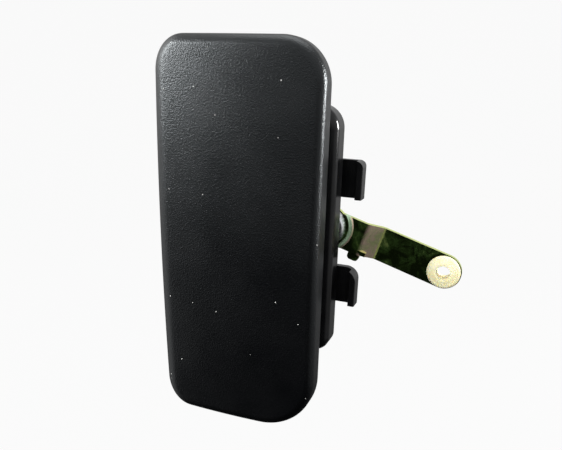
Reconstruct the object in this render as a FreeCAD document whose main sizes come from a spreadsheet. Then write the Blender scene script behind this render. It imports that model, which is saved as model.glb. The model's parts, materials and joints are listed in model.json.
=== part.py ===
"""Flap-type outside door handle: paddle, hinged base, bell crank and rod bush.

Frame: +Z runs up the long axis of the handle, +Y goes into the door and the paddle faces -Y.
The origin lies midway between the two mounting studs, on the outer face of the door skin.
"""
import FreeCAD, Part
import math
import os

import Sketcher

Vector = FreeCAD.Vector
Placement = FreeCAD.Placement
Rotation = FreeCAD.Rotation

os.makedirs("parts", exist_ok=True)
doc = FreeCAD.newDocument("door_handle")

# ---------------------------------------------------------------- driving dimensions (mm, deg)
DIMENSIONS = {
    # paddle outline, seen from the front
    "paddle_top": 69.5, "paddle_bottom": -69.7,
    "paddle_left_top": -34.7, "paddle_left_bottom": -27.95,
    "paddle_right_top": 30.6, "paddle_right_bottom": 31.8,
    "corner_top_left": 12.0, "corner_top_right": 16.0,
    "corner_bottom_right": 19.5, "corner_bottom_left": 11.5,
    # paddle depth and crown
    "rim_plane": 19.0, "paddle_depth": 9.0,
    "crown_across": 270.0, "crown_along": 1200.0, "crown_sweep": 8.6,
    "face_edge_round": 4.2,
    "shell_wall": 2.6, "shell_front_wall": 3.2,
    # carrier plate that closes the paddle from behind
    "carrier_gap": 0.3, "carrier_back": 19.5, "carrier_thick": 2.0,
    "screw_x": 22.0, "screw_height": 55.0, "screw_radius": 1.4, "screw_length": 4.0,
    "screw_head_radius": 2.8, "screw_head_thick": 1.6, "screw_boss_radius": 3.4,
    "screw_boss_height": 3.2,
    # base
    "base_left": -26.0, "base_right_top": 31.6, "base_right_bottom": 32.4,
    "base_top": 47.5, "base_bottom": -43.3,
    "base_back": 1.0, "base_depth": 9.5, "base_edge_round": 3.0,
    "base_corner_top": 8.5, "base_corner_bottom": 5.2,
    "recess_left": -21.0, "recess_right": 9.0, "recess_half_height": 27.0,
    "recess_floor": 3.0, "recess_corner": 6.0,
    "gasket_inset": 0.4, "gasket_width": 1.9,
    # hinge
    "hinge_x": 22.0, "hinge_y": -12.6, "pin_radius": 2.0, "hinge_boss_radius": 4.0,
    "ear_start": 34.2, "ear_thick": 5.0, "lug_start": 27.5, "lug_thick": 5.5,
    "trough_half_width": 5.4, "trough_floor": 7.4, "trough_half_length": 34.0,
    "bush_wall": 1.0, "bush_flange_radius": 3.8, "bush_flange_thick": 0.9, "running_gap": 0.05,
    "pin_end": 40.6, "pin_head_radius": 3.4, "pin_head_thick": 1.4,
    "clip_radius": 3.6, "clip_thick": 0.8, "clip_groove_radius": 1.5,
    "end_relief_half_width": 4.4, "end_relief_floor": 8.4, "end_relief_end": 42.0,
    # paddle return spring
    "paddle_coil_radius": 3.7, "paddle_wire_radius": 0.65, "paddle_coil_pitch": 1.25,
    "paddle_coil_bottom": -8.0, "paddle_coil_turns": 10,
    # cam lug on the carrier that works the bell crank
    "cam_x": 22.4, "cam_z": 20.3, "cam_thick": 5.0, "cam_width": 4.0, "cam_reach": 8.0,
    "spigot_start": 5.0, "spigot_end": 7.5,
    "shoe_radius": 3.0, "window_left": 13.2, "window_right": 25.9, "window_half_height": 3.8,
    # hooks that grip the edge of the door skin
    "hook_height": 14.35, "hook_upper_bottom": 12.98, "hook_lower_bottom": -28.4,
    "hook_root_left": 26.2, "hook_root_right": 28.9, "hook_end": 38.5, "hook_lip": 2.5,
    "hook_lip_front": 2.5, "hook_neck_front": 6.5, "hook_back": 9.0,
    "hook_upper_round": 2.6, "hook_lower_round": 5.0,
    # bell crank
    "pivot_x": 25.7, "pivot_z": 1.65, "lever_x": 69.8, "lever_z": -11.9,
    "lever_front": 6.0, "lever_thick": 2.0, "lever_half_width": 6.5, "lever_hub_radius": 7.6,
    "joggle_start": 14.6, "joggle_end": 20.4, "joggle_step": 4.5,
    "arm_angle": 122.6, "arm_length": 21.5, "arm_half_width": 4.0,
    "bead_radius": 9.0, "bead_half_thick": 1.2, "bead_rise": 0.6,
    "flange_start": 3.8, "flange_end": 17.3, "flange_depth": 5.0,
    "tab_start": 10.8, "tab_end": 15.3, "tab_drop": 9.4,
    # pivot of the bell crank
    "boss_left": 20.3, "boss_right": 29.0, "boss_half_height": 5.4, "boss_corner": 3.0,
    "boss_back": 1.0, "rivet_radius": 3.0, "rivet_head_radius": 5.0,
    "cup_radius": 7.3, "cup_depth": 4.4, "cup_wall": 0.9, "notch_below": 2.0,
    "pivot_bush_radius": 4.4, "pivot_flange_radius": 4.75, "washer_radius": 5.6, "washer_thick": 0.8,
    "crank_coil_radius": 5.5, "crank_wire_radius": 0.6, "crank_coil_pitch": 1.1,
    "crank_coil_turns": 3,
    # rod bush in the end of the bell crank
    "rod_bore_radius": 2.5, "rod_flange_radius": 6.15, "rod_flange_thick": 1.3,
    "rod_shank_radius": 3.95, "rod_snap_radius": 4.6,
    # fixings
    "stud_height": 35.0, "stud_radius": 3.0, "stud_reach": 16.0, "stud_depth": 7.0,
    "stud_collar_radius": 3.6, "seal_radius": 5.6,
    "rivet_depth": 5.5, "core_depth": 6.5, "core_wall": 3.5, "core_round": 1.5,
    "bumper_radius": 4.0, "bumper_x": -17.0, "bumper_z": 37.5, "bumper_height": 8.8,
}

sheet = doc.addObject("Spreadsheet::Sheet", "Sizes")
for row, (alias, number) in enumerate(DIMENSIONS.items(), start=1):
    sheet.set(f"A{row}", alias)
    sheet.set(f"B{row}", str(number))
    sheet.setAlias(f"B{row}", alias)
doc.recompute()


def size(alias):
    """Value of one driving dimension, read from the sheet."""
    return float(sheet.get(alias))


# lengths that only have to pass right through a piece
THROUGH = 40.0
FAR_OUTSIDE = 20.0


# ---------------------------------------------------------------- small tools
def bind(target, **expressions):
    """Bind properties of a document object to cells of the sheet."""
    for name, expression in expressions.items():
        target.setExpression(name, expression)


def new_body(label):
    """PartDesign body with its label."""
    body = doc.addObject("PartDesign::Body", label)
    body.Label = label
    return body


def sketch_on(body, name, role, offset=None):
    """Sketch on one of the body's own origin planes, moved by offset in the sketch's frame."""
    sketch = body.newObject("Sketcher::SketchObject", name)
    plane = next(f for f in body.Origin.OriginFeatures if f.Role == role)
    sketch.AttachmentSupport = [(plane, "")]
    sketch.MapMode = "FlatFace"
    if offset is not None:
        sketch.AttachmentOffset = Placement(Vector(*offset), Rotation())
    return sketch


def add_polygon(sketch, points, radii=None):
    """Closed outline through points, with each corner rounded by its radius (0 keeps it sharp)."""
    radii = radii or [0.0] * len(points)
    corners = []
    for index, (point, radius) in enumerate(zip(points, radii)):
        here = Vector(*point, 0)
        before = (Vector(*points[index - 1], 0) - here).normalize()
        after = (Vector(*points[(index + 1) % len(points)], 0) - here).normalize()
        if radius == 0.0:
            corners.append((here, here, here))
            continue
        half_angle = before.getAngle(after) / 2
        setback = radius / math.tan(half_angle)
        middle = (before + after).normalize() * (radius / math.sin(half_angle) - radius)
        corners.append((here + before * setback, here + middle, here + after * setback))
    for index, (start, middle, end) in enumerate(corners):
        if start != end:
            sketch.addGeometry(Part.ArcOfCircle(start, middle, end), False)
        following = corners[(index + 1) % len(corners)][0]
        sketch.addGeometry(Part.LineSegment(end, following), False)


def add_circle(sketch, x, y, radius_alias):
    """Circle whose radius constraint is bound to a cell."""
    circle = Part.Circle(Vector(x, y, 0), Vector(0, 0, 1), size(radius_alias))
    index = sketch.addGeometry(circle, False)
    constraint = sketch.addConstraint(Sketcher.Constraint("Radius", index, size(radius_alias)))
    sketch.setExpression(f"Constraints[{constraint}]", f"Sizes.{radius_alias}")


def pad(body, sketch, length, reverse=False):
    """Pad whose length is an expression."""
    feature = body.newObject("PartDesign::Pad", sketch.Name + "_pad")
    feature.Profile = sketch
    feature.Reversed = reverse
    bind(feature, Length=length)
    return feature


def pocket(body, sketch, length, reverse=False):
    """Pocket of a stated length; it must remove material."""
    doc.recompute()
    volume = body.Shape.Volume
    feature = body.newObject("PartDesign::Pocket", sketch.Name + "_pocket")
    feature.Profile = sketch
    feature.Reversed = reverse
    bind(feature, Length=length)
    doc.recompute()
    if body.Shape.Volume > volume - 0.01:
        states = {item.Name: item.State for item in body.Group if "Up-to-date" not in item.State}
        raise ValueError(f"{feature.Name} cuts nothing {states}")
    return feature


def revolve(body, sketch, axis="V_Axis"):
    """Full turn of a sketch about one of its own axes."""
    feature = body.newObject("PartDesign::Revolution", sketch.Name + "_turn")
    feature.Profile = sketch
    feature.ReferenceAxis = (sketch, [axis])
    feature.Angle = 360
    return feature


def edge_names(shape, test):
    """Names of the edges whose middle point passes the test."""
    names = []
    for index, edge in enumerate(shape.Edges, start=1):
        middle = edge.valueAt((edge.FirstParameter + edge.LastParameter) / 2)
        if test(middle):
            names.append(f"Edge{index}")
    return names


def round_edges(body, name, radius, test):
    """Fillet of the body's edges that pass the test."""
    doc.recompute()
    base = body.Tip
    feature = body.newObject("PartDesign::Fillet", name)
    feature.Base = (base, edge_names(base.Shape, test))
    bind(feature, Radius=radius)
    return feature


def turned(label, profile, place, role="XY_Plane"):
    """Turned piece: the profile's first number is the radius, its second lies along the axis."""
    body = new_body(label)
    sketch = sketch_on(body, label + "_section", role)
    add_polygon(sketch, profile)
    revolve(body, sketch)
    bind(body, **place)
    return body


def at(x="0", y="0", z="0"):
    """Placement expressions of a piece."""
    return {".Placement.Base.x": x, ".Placement.Base.y": y, ".Placement.Base.z": z}


def group(label, pieces):
    """Identical fasteners or bushes kept as one node of separate solids."""
    compound = doc.addObject("Part::Compound", label)
    compound.Links = pieces
    compound.Label = label
    return compound


# ---------------------------------------------------------------- paddle
def paddle_corners(inset):
    """Corner points and radii of the paddle outline, moved inwards by inset."""
    top, bottom = size("paddle_top") - inset, size("paddle_bottom") + inset
    points = [
        (size("paddle_left_top") + inset, top),
        (size("paddle_right_top") - inset, top),
        (size("paddle_right_bottom") - inset, bottom),
        (size("paddle_left_bottom") + inset, bottom),
    ]
    names = ("top_left", "top_right", "bottom_right", "bottom_left")
    return points, [size("corner_" + name) - inset for name in names]


def crowned_block(label, inset, front, back):
    """Block with the paddle's outline between two crowned faces, front and back ahead of y = 0."""
    body = new_body(label)
    axis_y = size("crown_along") - size("rim_plane") - size("paddle_depth")
    section = sketch_on(body, label + "_section", "XY_Plane", (0, axis_y, 0))
    half = THROUGH
    sagitta = half**2 / (2 * size("crown_across"))
    front_y, back_y = -axis_y - front, -axis_y - back
    arc = Part.ArcOfCircle(
        Vector(-half, front_y + sagitta, 0), Vector(0, front_y, 0), Vector(half, front_y + sagitta, 0)
    )
    corners = [
        Vector(half, front_y + sagitta, 0), Vector(half, back_y, 0),
        Vector(-half, back_y, 0), Vector(-half, front_y + sagitta, 0),
    ]
    section.addGeometry(arc, False)
    for start, end in zip(corners, corners[1:]):
        section.addGeometry(Part.LineSegment(start, end), False)
    barrel = revolve(body, section, "H_Axis")
    barrel.Midplane = True
    bind(barrel, Angle="Sizes.crown_sweep")
    trim = sketch_on(body, label + "_outline", "XZ_Plane")
    reach = 3 * THROUGH
    add_polygon(trim, [(-reach, -reach), (reach, -reach), (reach, reach), (-reach, reach)])
    add_polygon(trim, *paddle_corners(inset))
    doc.recompute()
    cut = pocket(body, trim, f"{2 * THROUGH}", reverse=True)
    cut.Label = label + "_trim"
    return body


def make_paddle_shell():
    """Textured outer cover: crowned face, rolled edges, open back, four screw bosses."""
    apex = size("rim_plane") + size("paddle_depth")
    blank = crowned_block("paddle_blank", 0.0, apex, size("rim_plane"))
    doc.recompute()
    front_face = min(blank.Shape.Faces, key=lambda face: face.CenterOfMass.y)
    radius = size("face_edge_round")
    rounded = doc.addObject("Part::Fillet", "paddle_rounded")
    rounded.Base = blank
    rounded.Edges = [
        (index, radius, radius) for index, edge in enumerate(blank.Shape.Edges, start=1)
        if any(edge.isSame(other) for other in front_face.Edges)
    ]

    cavity = crowned_block(
        "paddle_cavity", size("shell_wall"), apex - size("shell_front_wall"), size("rim_plane") - 8
    )
    hollow = doc.addObject("Part::Cut", "paddle_hollow")
    hollow.Base = rounded
    hollow.Tool = cavity
    bosses, pilots = [], []
    for x, z in screw_places():
        boss = doc.addObject("Part::Cylinder", "screw_boss")
        bind(boss, Radius="Sizes.screw_boss_radius", Height="Sizes.screw_boss_height")
        pilot = doc.addObject("Part::Cylinder", "screw_pilot")
        bind(pilot, Radius="Sizes.screw_radius", Height="Sizes.screw_length")
        boss_back = size("carrier_back") + size("carrier_thick")
        for piece, back in ((boss, boss_back), (pilot, size("carrier_back"))):
            piece.Placement = Placement(Vector(x, -back, z), Rotation(Vector(1, 0, 0), 90))
        bosses.append(boss)
        pilots.append(pilot)
    joined = doc.addObject("Part::MultiFuse", "paddle_with_bosses")
    joined.Shapes = [hollow] + bosses
    holes = doc.addObject("Part::MultiFuse", "paddle_pilot_holes")
    holes.Shapes = pilots
    shell = doc.addObject("Part::Cut", "paddle_shell")
    shell.Base = joined
    shell.Tool = holes
    shell.Label = "paddle_shell"
    return shell


def screw_places():
    """Places (x, z) of the four carrier screws."""
    x, z = size("screw_x"), size("screw_height")
    return [(sx * x, sz * z) for sz in (1, -1) for sx in (1, -1)]


def make_paddle_carrier():
    """Plate behind the cover with two hinge lugs and the cam lug between them."""
    body = new_body("paddle_carrier")
    outline = sketch_on(body, "carrier_outline", "XZ_Plane", (0, 0, size("carrier_back")))
    add_polygon(outline, *paddle_corners(size("shell_wall") + size("carrier_gap")))
    pad(body, outline, "Sizes.carrier_thick")
    hinge_x, hinge_y, boss = size("hinge_x"), size("hinge_y"), size("hinge_boss_radius")
    root_y = -size("carrier_back") - size("carrier_thick") / 2
    lug_profile = [
        (hinge_x - boss - 2.0, root_y), (hinge_x + boss + 1.5, root_y),
        (hinge_x + boss, hinge_y + boss), (hinge_x - boss, hinge_y + boss),
    ]
    lug_bottoms = (size("lug_start"), -size("lug_start") - size("lug_thick"))
    for name, bottom in zip(("upper", "lower"), lug_bottoms):
        lug = sketch_on(body, name + "_lug", "XY_Plane", (0, 0, bottom))
        add_polygon(lug, lug_profile, [0, 0, boss - 0.3, boss - 0.3])
        pad(body, lug, "Sizes.lug_thick")
    cam_x, half = size("cam_x"), size("cam_width") / 2
    cam = sketch_on(body, "cam_lug", "XY_Plane", (0, 0, size("cam_z") - size("cam_thick") / 2))
    cam_profile = [
        (hinge_x - boss - 1.0, root_y), (hinge_x + boss + 1.0, root_y),
        (hinge_x + boss, hinge_y + boss - 1.0), (cam_x + half, hinge_y + 2 * boss),
        (cam_x + half, size("cam_reach") - 2.0), (cam_x - half, size("cam_reach") - 2.0),
        (cam_x - half, hinge_y + 2 * boss), (hinge_x - boss, hinge_y + boss - 1.0),
    ]
    add_polygon(cam, cam_profile, [0, 0, 2.0, 3.0, 0, 0, 3.0, 2.0])
    pad(body, cam, "Sizes.cam_thick")
    spigot = sketch_on(body, "shoe_spigot", "XZ_Plane", (0, 0, -size("spigot_end")))
    add_circle(spigot, cam_x, size("cam_z"), "screw_radius")
    pad(body, spigot, "Sizes.spigot_end - Sizes.spigot_start")
    clear_radius, bush_radius = size("pin_radius") + 0.2, size("pin_radius") + size("bush_wall")
    for name, radius, start, length in (
        ("cam_pin_hole", clear_radius, size("cam_z") - size("cam_thick"), "2 * Sizes.cam_thick"),
        ("upper_bush_hole", bush_radius, size("lug_start") - 1, "2 + Sizes.lug_thick"),
        ("lower_bush_hole", bush_radius, lug_bottoms[1] - 1, "2 + Sizes.lug_thick"),
    ):
        hole = sketch_on(body, name, "XY_Plane", (0, 0, start))
        hole.addGeometry(Part.Circle(Vector(hinge_x, hinge_y, 0), Vector(0, 0, 1), radius), False)
        pocket(body, hole, length, reverse=True)
    screws = sketch_on(body, "carrier_screw_holes", "XZ_Plane", (0, 0, size("carrier_back") + 3))
    for x, z in screw_places():
        add_circle(screws, x, z, "screw_radius")
    pocket(body, screws, "4")
    return body


def make_carrier_screws():
    """Four pan-head thread-forming screws that hold the carrier in the cover."""
    shank, head = size("screw_radius"), size("screw_head_radius")
    thick, length = size("screw_head_thick"), size("screw_length")
    profile = [
        (0, -length), (shank, -length), (shank, 0), (head, 0),
        (head, thick * 0.6), (head * 0.7, thick), (head * 0.3, thick), (head * 0.3, thick * 0.3),
        (0, thick * 0.3),
    ]
    screws = []
    for index, (x, z) in enumerate(screw_places()):
        screws.append(
            turned(f"carrier_screw_{index}", profile, at(f"{x}", "-Sizes.carrier_back", f"{z}"))
        )
    return group("carrier_screws", screws)


def make_cam_shoe():
    """Nylon ball pressed on the end of the cam lug."""
    x, reach, z = size("cam_x"), size("cam_reach"), size("cam_z")
    ball = doc.addObject("Part::Sphere", "shoe_ball")
    bind(ball, Radius="Sizes.shoe_radius", **at("Sizes.cam_x", "Sizes.cam_reach", "Sizes.cam_z"))
    seat = doc.addObject("Part::Cylinder", "shoe_seat")
    bind(seat, Radius="Sizes.screw_radius", Height="Sizes.cam_reach")
    seat.Placement = Placement(Vector(x, size("spigot_end"), z), Rotation(Vector(1, 0, 0), 90))
    flat = doc.addObject("Part::Box", "shoe_flat")
    flat.Length = flat.Width = flat.Height = FAR_OUTSIDE
    flat_end = reach - 2.0
    flat.Placement.Base = Vector(x - FAR_OUTSIDE / 2, flat_end - FAR_OUTSIDE, z - FAR_OUTSIDE / 2)
    cutters = doc.addObject("Part::MultiFuse", "shoe_cutters")
    cutters.Shapes = [seat, flat]
    shoe = doc.addObject("Part::Cut", "cam_shoe")
    shoe.Base = ball
    shoe.Tool = cutters
    shoe.Label = "cam_shoe"
    return shoe


# ---------------------------------------------------------------- hinge
def make_hinge_bushes():
    """Flanged nylon bushes pressed into the two hinge lugs."""
    inner = size("pin_radius") + size("running_gap")
    outer = size("pin_radius") + size("bush_wall")
    length, flange, thick = size("lug_thick"), size("bush_flange_radius"), size("bush_flange_thick")
    profile = [(inner, 0), (outer, 0), (outer, length), (flange, length), (flange, length + thick)]
    profile.append((inner, length + thick))
    place = at("Sizes.hinge_x", "Sizes.hinge_y", "Sizes.lug_start")
    upper = turned("hinge_bush_upper", profile, place, "XZ_Plane")
    mirrored = [(radius, -along) for radius, along in profile]
    place = at("Sizes.hinge_x", "Sizes.hinge_y", "-Sizes.lug_start")
    lower = turned("hinge_bush_lower", mirrored, place, "XZ_Plane")
    return group("hinge_bushes", [upper, lower])


def make_hinge_pin():
    """Headed pin with a groove for its clip at the lower end."""
    radius, end, head = size("pin_radius"), size("pin_end"), size("pin_head_radius")
    ear_end = size("ear_start") + size("ear_thick")
    groove = size("clip_groove_radius")
    clip_top = -ear_end - 0.1
    clip_bottom = clip_top - size("clip_thick") - 0.1
    profile = [
        (0, -end - 2.2), (radius - 0.6, -end - 2.2), (radius, -end - 1.6),
        (radius, clip_bottom), (groove, clip_bottom), (groove, clip_top), (radius, clip_top),
        (radius, ear_end), (head, ear_end), (head, ear_end + size("pin_head_thick") * 0.5),
        (head * 0.7, ear_end + size("pin_head_thick")), (0, ear_end + size("pin_head_thick")),
    ]
    return turned("hinge_pin", profile, at("Sizes.hinge_x", "Sizes.hinge_y"), "XZ_Plane")


def make_hinge_pin_clip():
    """E-clip: a flat ring open towards the front, gripping the pin's groove."""
    body = new_body("hinge_pin_clip")
    top = -size("ear_start") - size("ear_thick") - 0.15
    flat = sketch_on(body, "clip_ring", "XY_Plane", (size("hinge_x"), size("hinge_y"), top))
    add_circle(flat, 0, 0, "clip_radius")
    add_circle(flat, 0, 0, "clip_groove_radius")
    pad(body, flat, "Sizes.clip_thick", reverse=True)
    mouth = sketch_on(body, "clip_mouth", "XY_Plane", (size("hinge_x"), size("hinge_y"), top + 1))
    half = size("clip_groove_radius") - 0.15
    add_polygon(mouth, [(-half, -6), (half, -6), (half, 0), (-half, 0)])
    pocket(body, mouth, "4")
    return body


def coil_rings(label, radius, wire, count, start, step):
    """Close-wound coil as overlapping rings along a direction; returns the ring objects."""
    rings = []
    for turn in range(count):
        ring = doc.addObject("Part::Torus", f"{label}_ring_{turn}")
        bind(ring, Radius1=f"Sizes.{radius}", Radius2=f"Sizes.{wire}")
        place = start + step * turn
        turn_to_axis = Rotation(Vector(0, 0, 1), step)
        ring.Placement = Placement(place, turn_to_axis)
        rings.append(ring)
    return rings


def wire_leg(label, wire, start, end):
    """Straight stretch of spring wire between two points."""
    leg = doc.addObject("Part::Cylinder", label)
    direction = end - start
    overlap = direction * (0.5 / direction.Length)
    bind(leg, Radius=f"Sizes.{wire} - 0.03")
    leg.Height = direction.Length + overlap.Length
    leg.Placement = Placement(start - overlap, Rotation(Vector(0, 0, 1), direction))
    return leg


def make_paddle_spring():
    """Torsion spring round the hinge pin; one leg bears on the carrier, one on the base."""
    x, y, radius = size("hinge_x"), size("hinge_y"), size("paddle_coil_radius")
    bottom, pitch = size("paddle_coil_bottom"), size("paddle_coil_pitch")
    turns = int(size("paddle_coil_turns"))
    rings = coil_rings(
        "paddle_coil", "paddle_coil_radius", "paddle_wire_radius", turns,
        Vector(x, y, bottom), Vector(0, 0, pitch),
    )
    wire = size("paddle_wire_radius")
    top = bottom + pitch * (turns - 1)
    carrier_y = -size("carrier_back") + wire
    floor_y = -size("trough_floor") - wire
    side = x - radius
    legs = []
    for name, height, end_y in (("carrier_leg", top, carrier_y), ("base_leg", bottom, floor_y)):
        start, end = Vector(side, y, height), Vector(side, end_y, height)
        legs.append(wire_leg(name, "paddle_wire_radius", start, end))
    spring = doc.addObject("Part::MultiFuse", "paddle_spring")
    spring.Shapes = rings + legs
    spring.Label = "paddle_spring"
    return spring


# ---------------------------------------------------------------- base
def base_corners(inset):
    """Corner points and radii of the base outline, moved inwards by inset."""
    left, top, bottom = size("base_left") + inset, size("base_top") - inset, size("base_bottom") + inset
    points = [
        (left, top), (size("base_right_top") - inset, top),
        (size("base_right_bottom") - inset, bottom), (left, bottom),
    ]
    high, low = size("base_corner_top") - inset, size("base_corner_bottom") - inset
    return points, [high, high, low, low]


def make_base():
    """Die-cast base: rounded block with finger recess, hinge trough, ears, hooks and pivot boss."""
    body = new_body("base_body")
    outline = sketch_on(body, "base_outline", "XZ_Plane", (0, 0, size("base_back")))
    add_polygon(outline, *base_corners(0.0))
    pad(body, outline, "Sizes.base_depth")
    front = -size("base_back") - size("base_depth")
    round_edges(body, "base_front_round", "Sizes.base_edge_round", lambda p: abs(p.y - front) < 0.01)

    recess = sketch_on(body, "finger_recess", "XZ_Plane", (0, 0, FAR_OUTSIDE))
    reach, corner = size("recess_half_height"), size("recess_corner")
    recess_left, recess_right = size("recess_left"), size("recess_right")
    add_polygon(
        recess,
        [(recess_left, reach), (recess_right, reach), (recess_right, -reach), (recess_left, -reach)],
        [corner] * 4,
    )
    pocket(body, recess, f"{FAR_OUTSIDE} - Sizes.recess_floor")
    round_edges(
        body, "recess_round", "2.5",
        lambda p: abs(p.y + size("recess_floor")) < 0.01 and p.x < recess_right + 1,
    )

    hinge_x, hinge_y = size("hinge_x"), size("hinge_y")
    trough = sketch_on(body, "hinge_trough", "XZ_Plane", (0, 0, FAR_OUTSIDE))
    half_width, half_length = size("trough_half_width"), size("trough_half_length")
    add_polygon(
        trough,
        [(hinge_x - half_width, half_length), (hinge_x + half_width, half_length),
         (hinge_x + half_width, -half_length), (hinge_x - half_width, -half_length)],
        [1.5] * 4,
    )
    pocket(body, trough, f"{FAR_OUTSIDE} - Sizes.trough_floor")

    boss = size("hinge_boss_radius")
    lower_ear_start = -size("ear_start") - size("ear_thick")
    for name, start in (("upper", size("ear_start")), ("lower", lower_ear_start)):
        ear = sketch_on(body, name + "_ear", "XY_Plane", (0, 0, start))
        ear_profile = [
            (hinge_x - boss - 1.5, front + 3.0), (hinge_x - boss, hinge_y - boss),
            (hinge_x + boss, hinge_y - boss), (hinge_x + boss + 1.5, front + 3.0),
        ]
        add_polygon(ear, ear_profile, [0, boss - 0.6, boss - 0.6, 0])
        pad(body, ear, "Sizes.ear_thick")
    pin_hole = sketch_on(body, "pin_hole", "XY_Plane", (0, 0, -1.5 * THROUGH))
    add_circle(pin_hole, hinge_x, hinge_y, "pin_radius")
    pocket(body, pin_hole, f"{3 * THROUGH}", reverse=True)

    half_width, deep = size("end_relief_half_width"), FAR_OUTSIDE
    for name, side in (("upper", 1), ("lower", -1)):
        relief = sketch_on(body, name + "_end_relief", "XZ_Plane", (0, 0, deep))
        near, far = side * (size("ear_start") + size("ear_thick")), side * size("end_relief_end")
        relief_left, relief_right = hinge_x - half_width, hinge_x + half_width
        add_polygon(
            relief, [(relief_left, near), (relief_right, near), (relief_right, far), (relief_left, far)]
        )
        pocket(body, relief, f"{deep} - Sizes.end_relief_floor")

    pivot = sketch_on(body, "pivot_boss", "XZ_Plane", (0, 0, 2.0))
    boss_left, boss_right = size("boss_left"), size("boss_right")
    boss_top = size("pivot_z") + size("boss_half_height")
    boss_bottom = size("pivot_z") - size("boss_half_height")
    boss_outline = [
        (boss_left, boss_top), (boss_right, boss_top), (boss_right, boss_bottom), (boss_left, boss_bottom),
    ]
    add_polygon(pivot, boss_outline, [size("boss_corner")] * 4)
    pad(body, pivot, "2 + Sizes.boss_back", reverse=True)

    window = sketch_on(body, "cam_window", "XZ_Plane", (0, 0, FAR_OUTSIDE))
    centre, half = size("cam_z"), size("window_half_height")
    window_left, window_right = size("window_left"), size("window_right")
    add_polygon(
        window,
        [(window_left, centre + half), (window_right, centre + half),
         (window_right, centre - half), (window_left, centre - half)],
        [1.0] * 4,
    )
    pocket(body, window, f"{THROUGH}")

    for name, hook_bottom in (("upper", "hook_upper_bottom"), ("lower", "hook_lower_bottom")):
        make_hook(body, name, size(hook_bottom), size(f"hook_{name}_round"))

    studs = sketch_on(body, "stud_holes", "XZ_Plane", (0, 0, size("stud_depth")))
    for side in (1, -1):
        add_circle(studs, 0, side * size("stud_height"), "stud_collar_radius")
    pocket(body, studs, f"{THROUGH}")
    rivet = sketch_on(body, "rivet_hole", "XZ_Plane", (0, 0, size("rivet_depth")))
    add_circle(rivet, size("pivot_x"), size("pivot_z"), "rivet_radius")
    pocket(body, rivet, f"{THROUGH}")
    for name, side, limit in (("upper", 1, size("base_top")), ("lower", -1, size("base_bottom"))):
        make_cores(body, name, side, limit)
    return body


def make_cores(body, name, side, limit):
    """Two pockets cast into the back of the base, one each side of a mounting stud."""
    cores = sketch_on(body, name + "_cores", "XZ_Plane", (0, 0, size("base_back") + size("core_depth")))
    wall, boss = size("core_wall"), 7.0
    near = side * (size("recess_half_height") + 2.5)
    far = limit - side * wall
    for left, right in ((size("base_left") + wall + 1.0, -boss), (boss, 2 * boss + 1.0)):
        points = [(left, far), (right, far), (right, near), (left, near)]
        add_polygon(cores, points, [size("core_round")] * 4)
    pocket(body, cores, f"{THROUGH}")


def make_hook(body, name, bottom, corner_round):
    """L-shaped hook behind the base: a neck towards the side and a lip turned to the front."""
    left, right = size("hook_root_left"), size("hook_root_right")
    end, lip = size("hook_end"), size("hook_lip")
    front, neck, back = size("hook_lip_front"), size("hook_neck_front"), size("hook_back")
    inside = -size("base_back") - 2.0
    profile = [
        (left, inside), (right, inside), (right, neck), (end - lip, neck),
        (end - lip, front), (end, front), (end, back), (left, back),
    ]
    hook = sketch_on(body, name + "_hook", "XY_Plane", (0, 0, bottom))
    add_polygon(hook, profile, [0, 0, 1.0, 0.8, 0.4, 0.6, 0.8, 1.5])
    pad(body, hook, "Sizes.hook_height")
    trim = sketch_on(body, name + "_hook_trim", "XZ_Plane", (0, 0, 1))
    top, outside = bottom + size("hook_height"), end + 1.0
    lean = corner_round * (1 - math.sqrt(0.5))
    start, finish = Vector(end - corner_round, top, 0), Vector(end, top - corner_round, 0)
    trim.addGeometry(Part.ArcOfCircle(start, Vector(end - lean, top - lean, 0), finish), False)
    corners = [
        finish, Vector(outside, finish.y, 0), Vector(outside, top + 1, 0),
        Vector(start.x, top + 1, 0), start,
    ]
    for here, following in zip(corners, corners[1:]):
        trim.addGeometry(Part.LineSegment(here, following), False)
    pocket(body, trim, "Sizes.hook_back + 3")


def make_gasket():
    """Thin foam ring between the base and the door skin."""
    body = new_body("base_gasket")
    ring = sketch_on(body, "gasket_ring", "XZ_Plane")
    for inset in (size("gasket_inset"), size("gasket_inset") + size("gasket_width")):
        add_polygon(ring, *base_corners(inset))
    pad(body, ring, "Sizes.base_back")
    return body


def make_stop_bumpers():
    """Rubber buttons on the base that the carrier rests on."""
    foot, height = size("bumper_radius"), size("bumper_height")
    profile = [
        (0, 0), (foot, 0), (foot, -1.5), (foot - 0.9, -height + 1), (foot - 1.7, -height), (0, -height),
    ]
    bumpers = []
    for name, side in (("upper", 1), ("lower", -1)):
        place = at("Sizes.bumper_x", "-Sizes.base_back - Sizes.base_depth", f"{side} * Sizes.bumper_z")
        bumpers.append(turned(f"stop_bumper_{name}", profile, place))
    return group("stop_bumpers", bumpers)


# ---------------------------------------------------------------- fixings
def stud_places():
    """Height names and signs of the two mounting studs."""
    return (("upper", 1), ("lower", -1))


def make_studs():
    """M6 studs, each pressed into the base by a thicker collar that ends at the door skin."""
    radius, reach, depth = size("stud_radius"), size("stud_reach"), size("stud_depth")
    collar, chamfer = size("stud_collar_radius"), 0.8
    profile = [
        (0, -depth), (collar, -depth), (collar, 0), (radius, 0),
        (radius, reach - chamfer), (radius - chamfer, reach), (0, reach),
    ]
    studs = []
    for name, side in stud_places():
        studs.append(turned(f"mounting_stud_{name}", profile, at(z=f"{side} * Sizes.stud_height")))
    return group("mounting_studs", studs)


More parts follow.
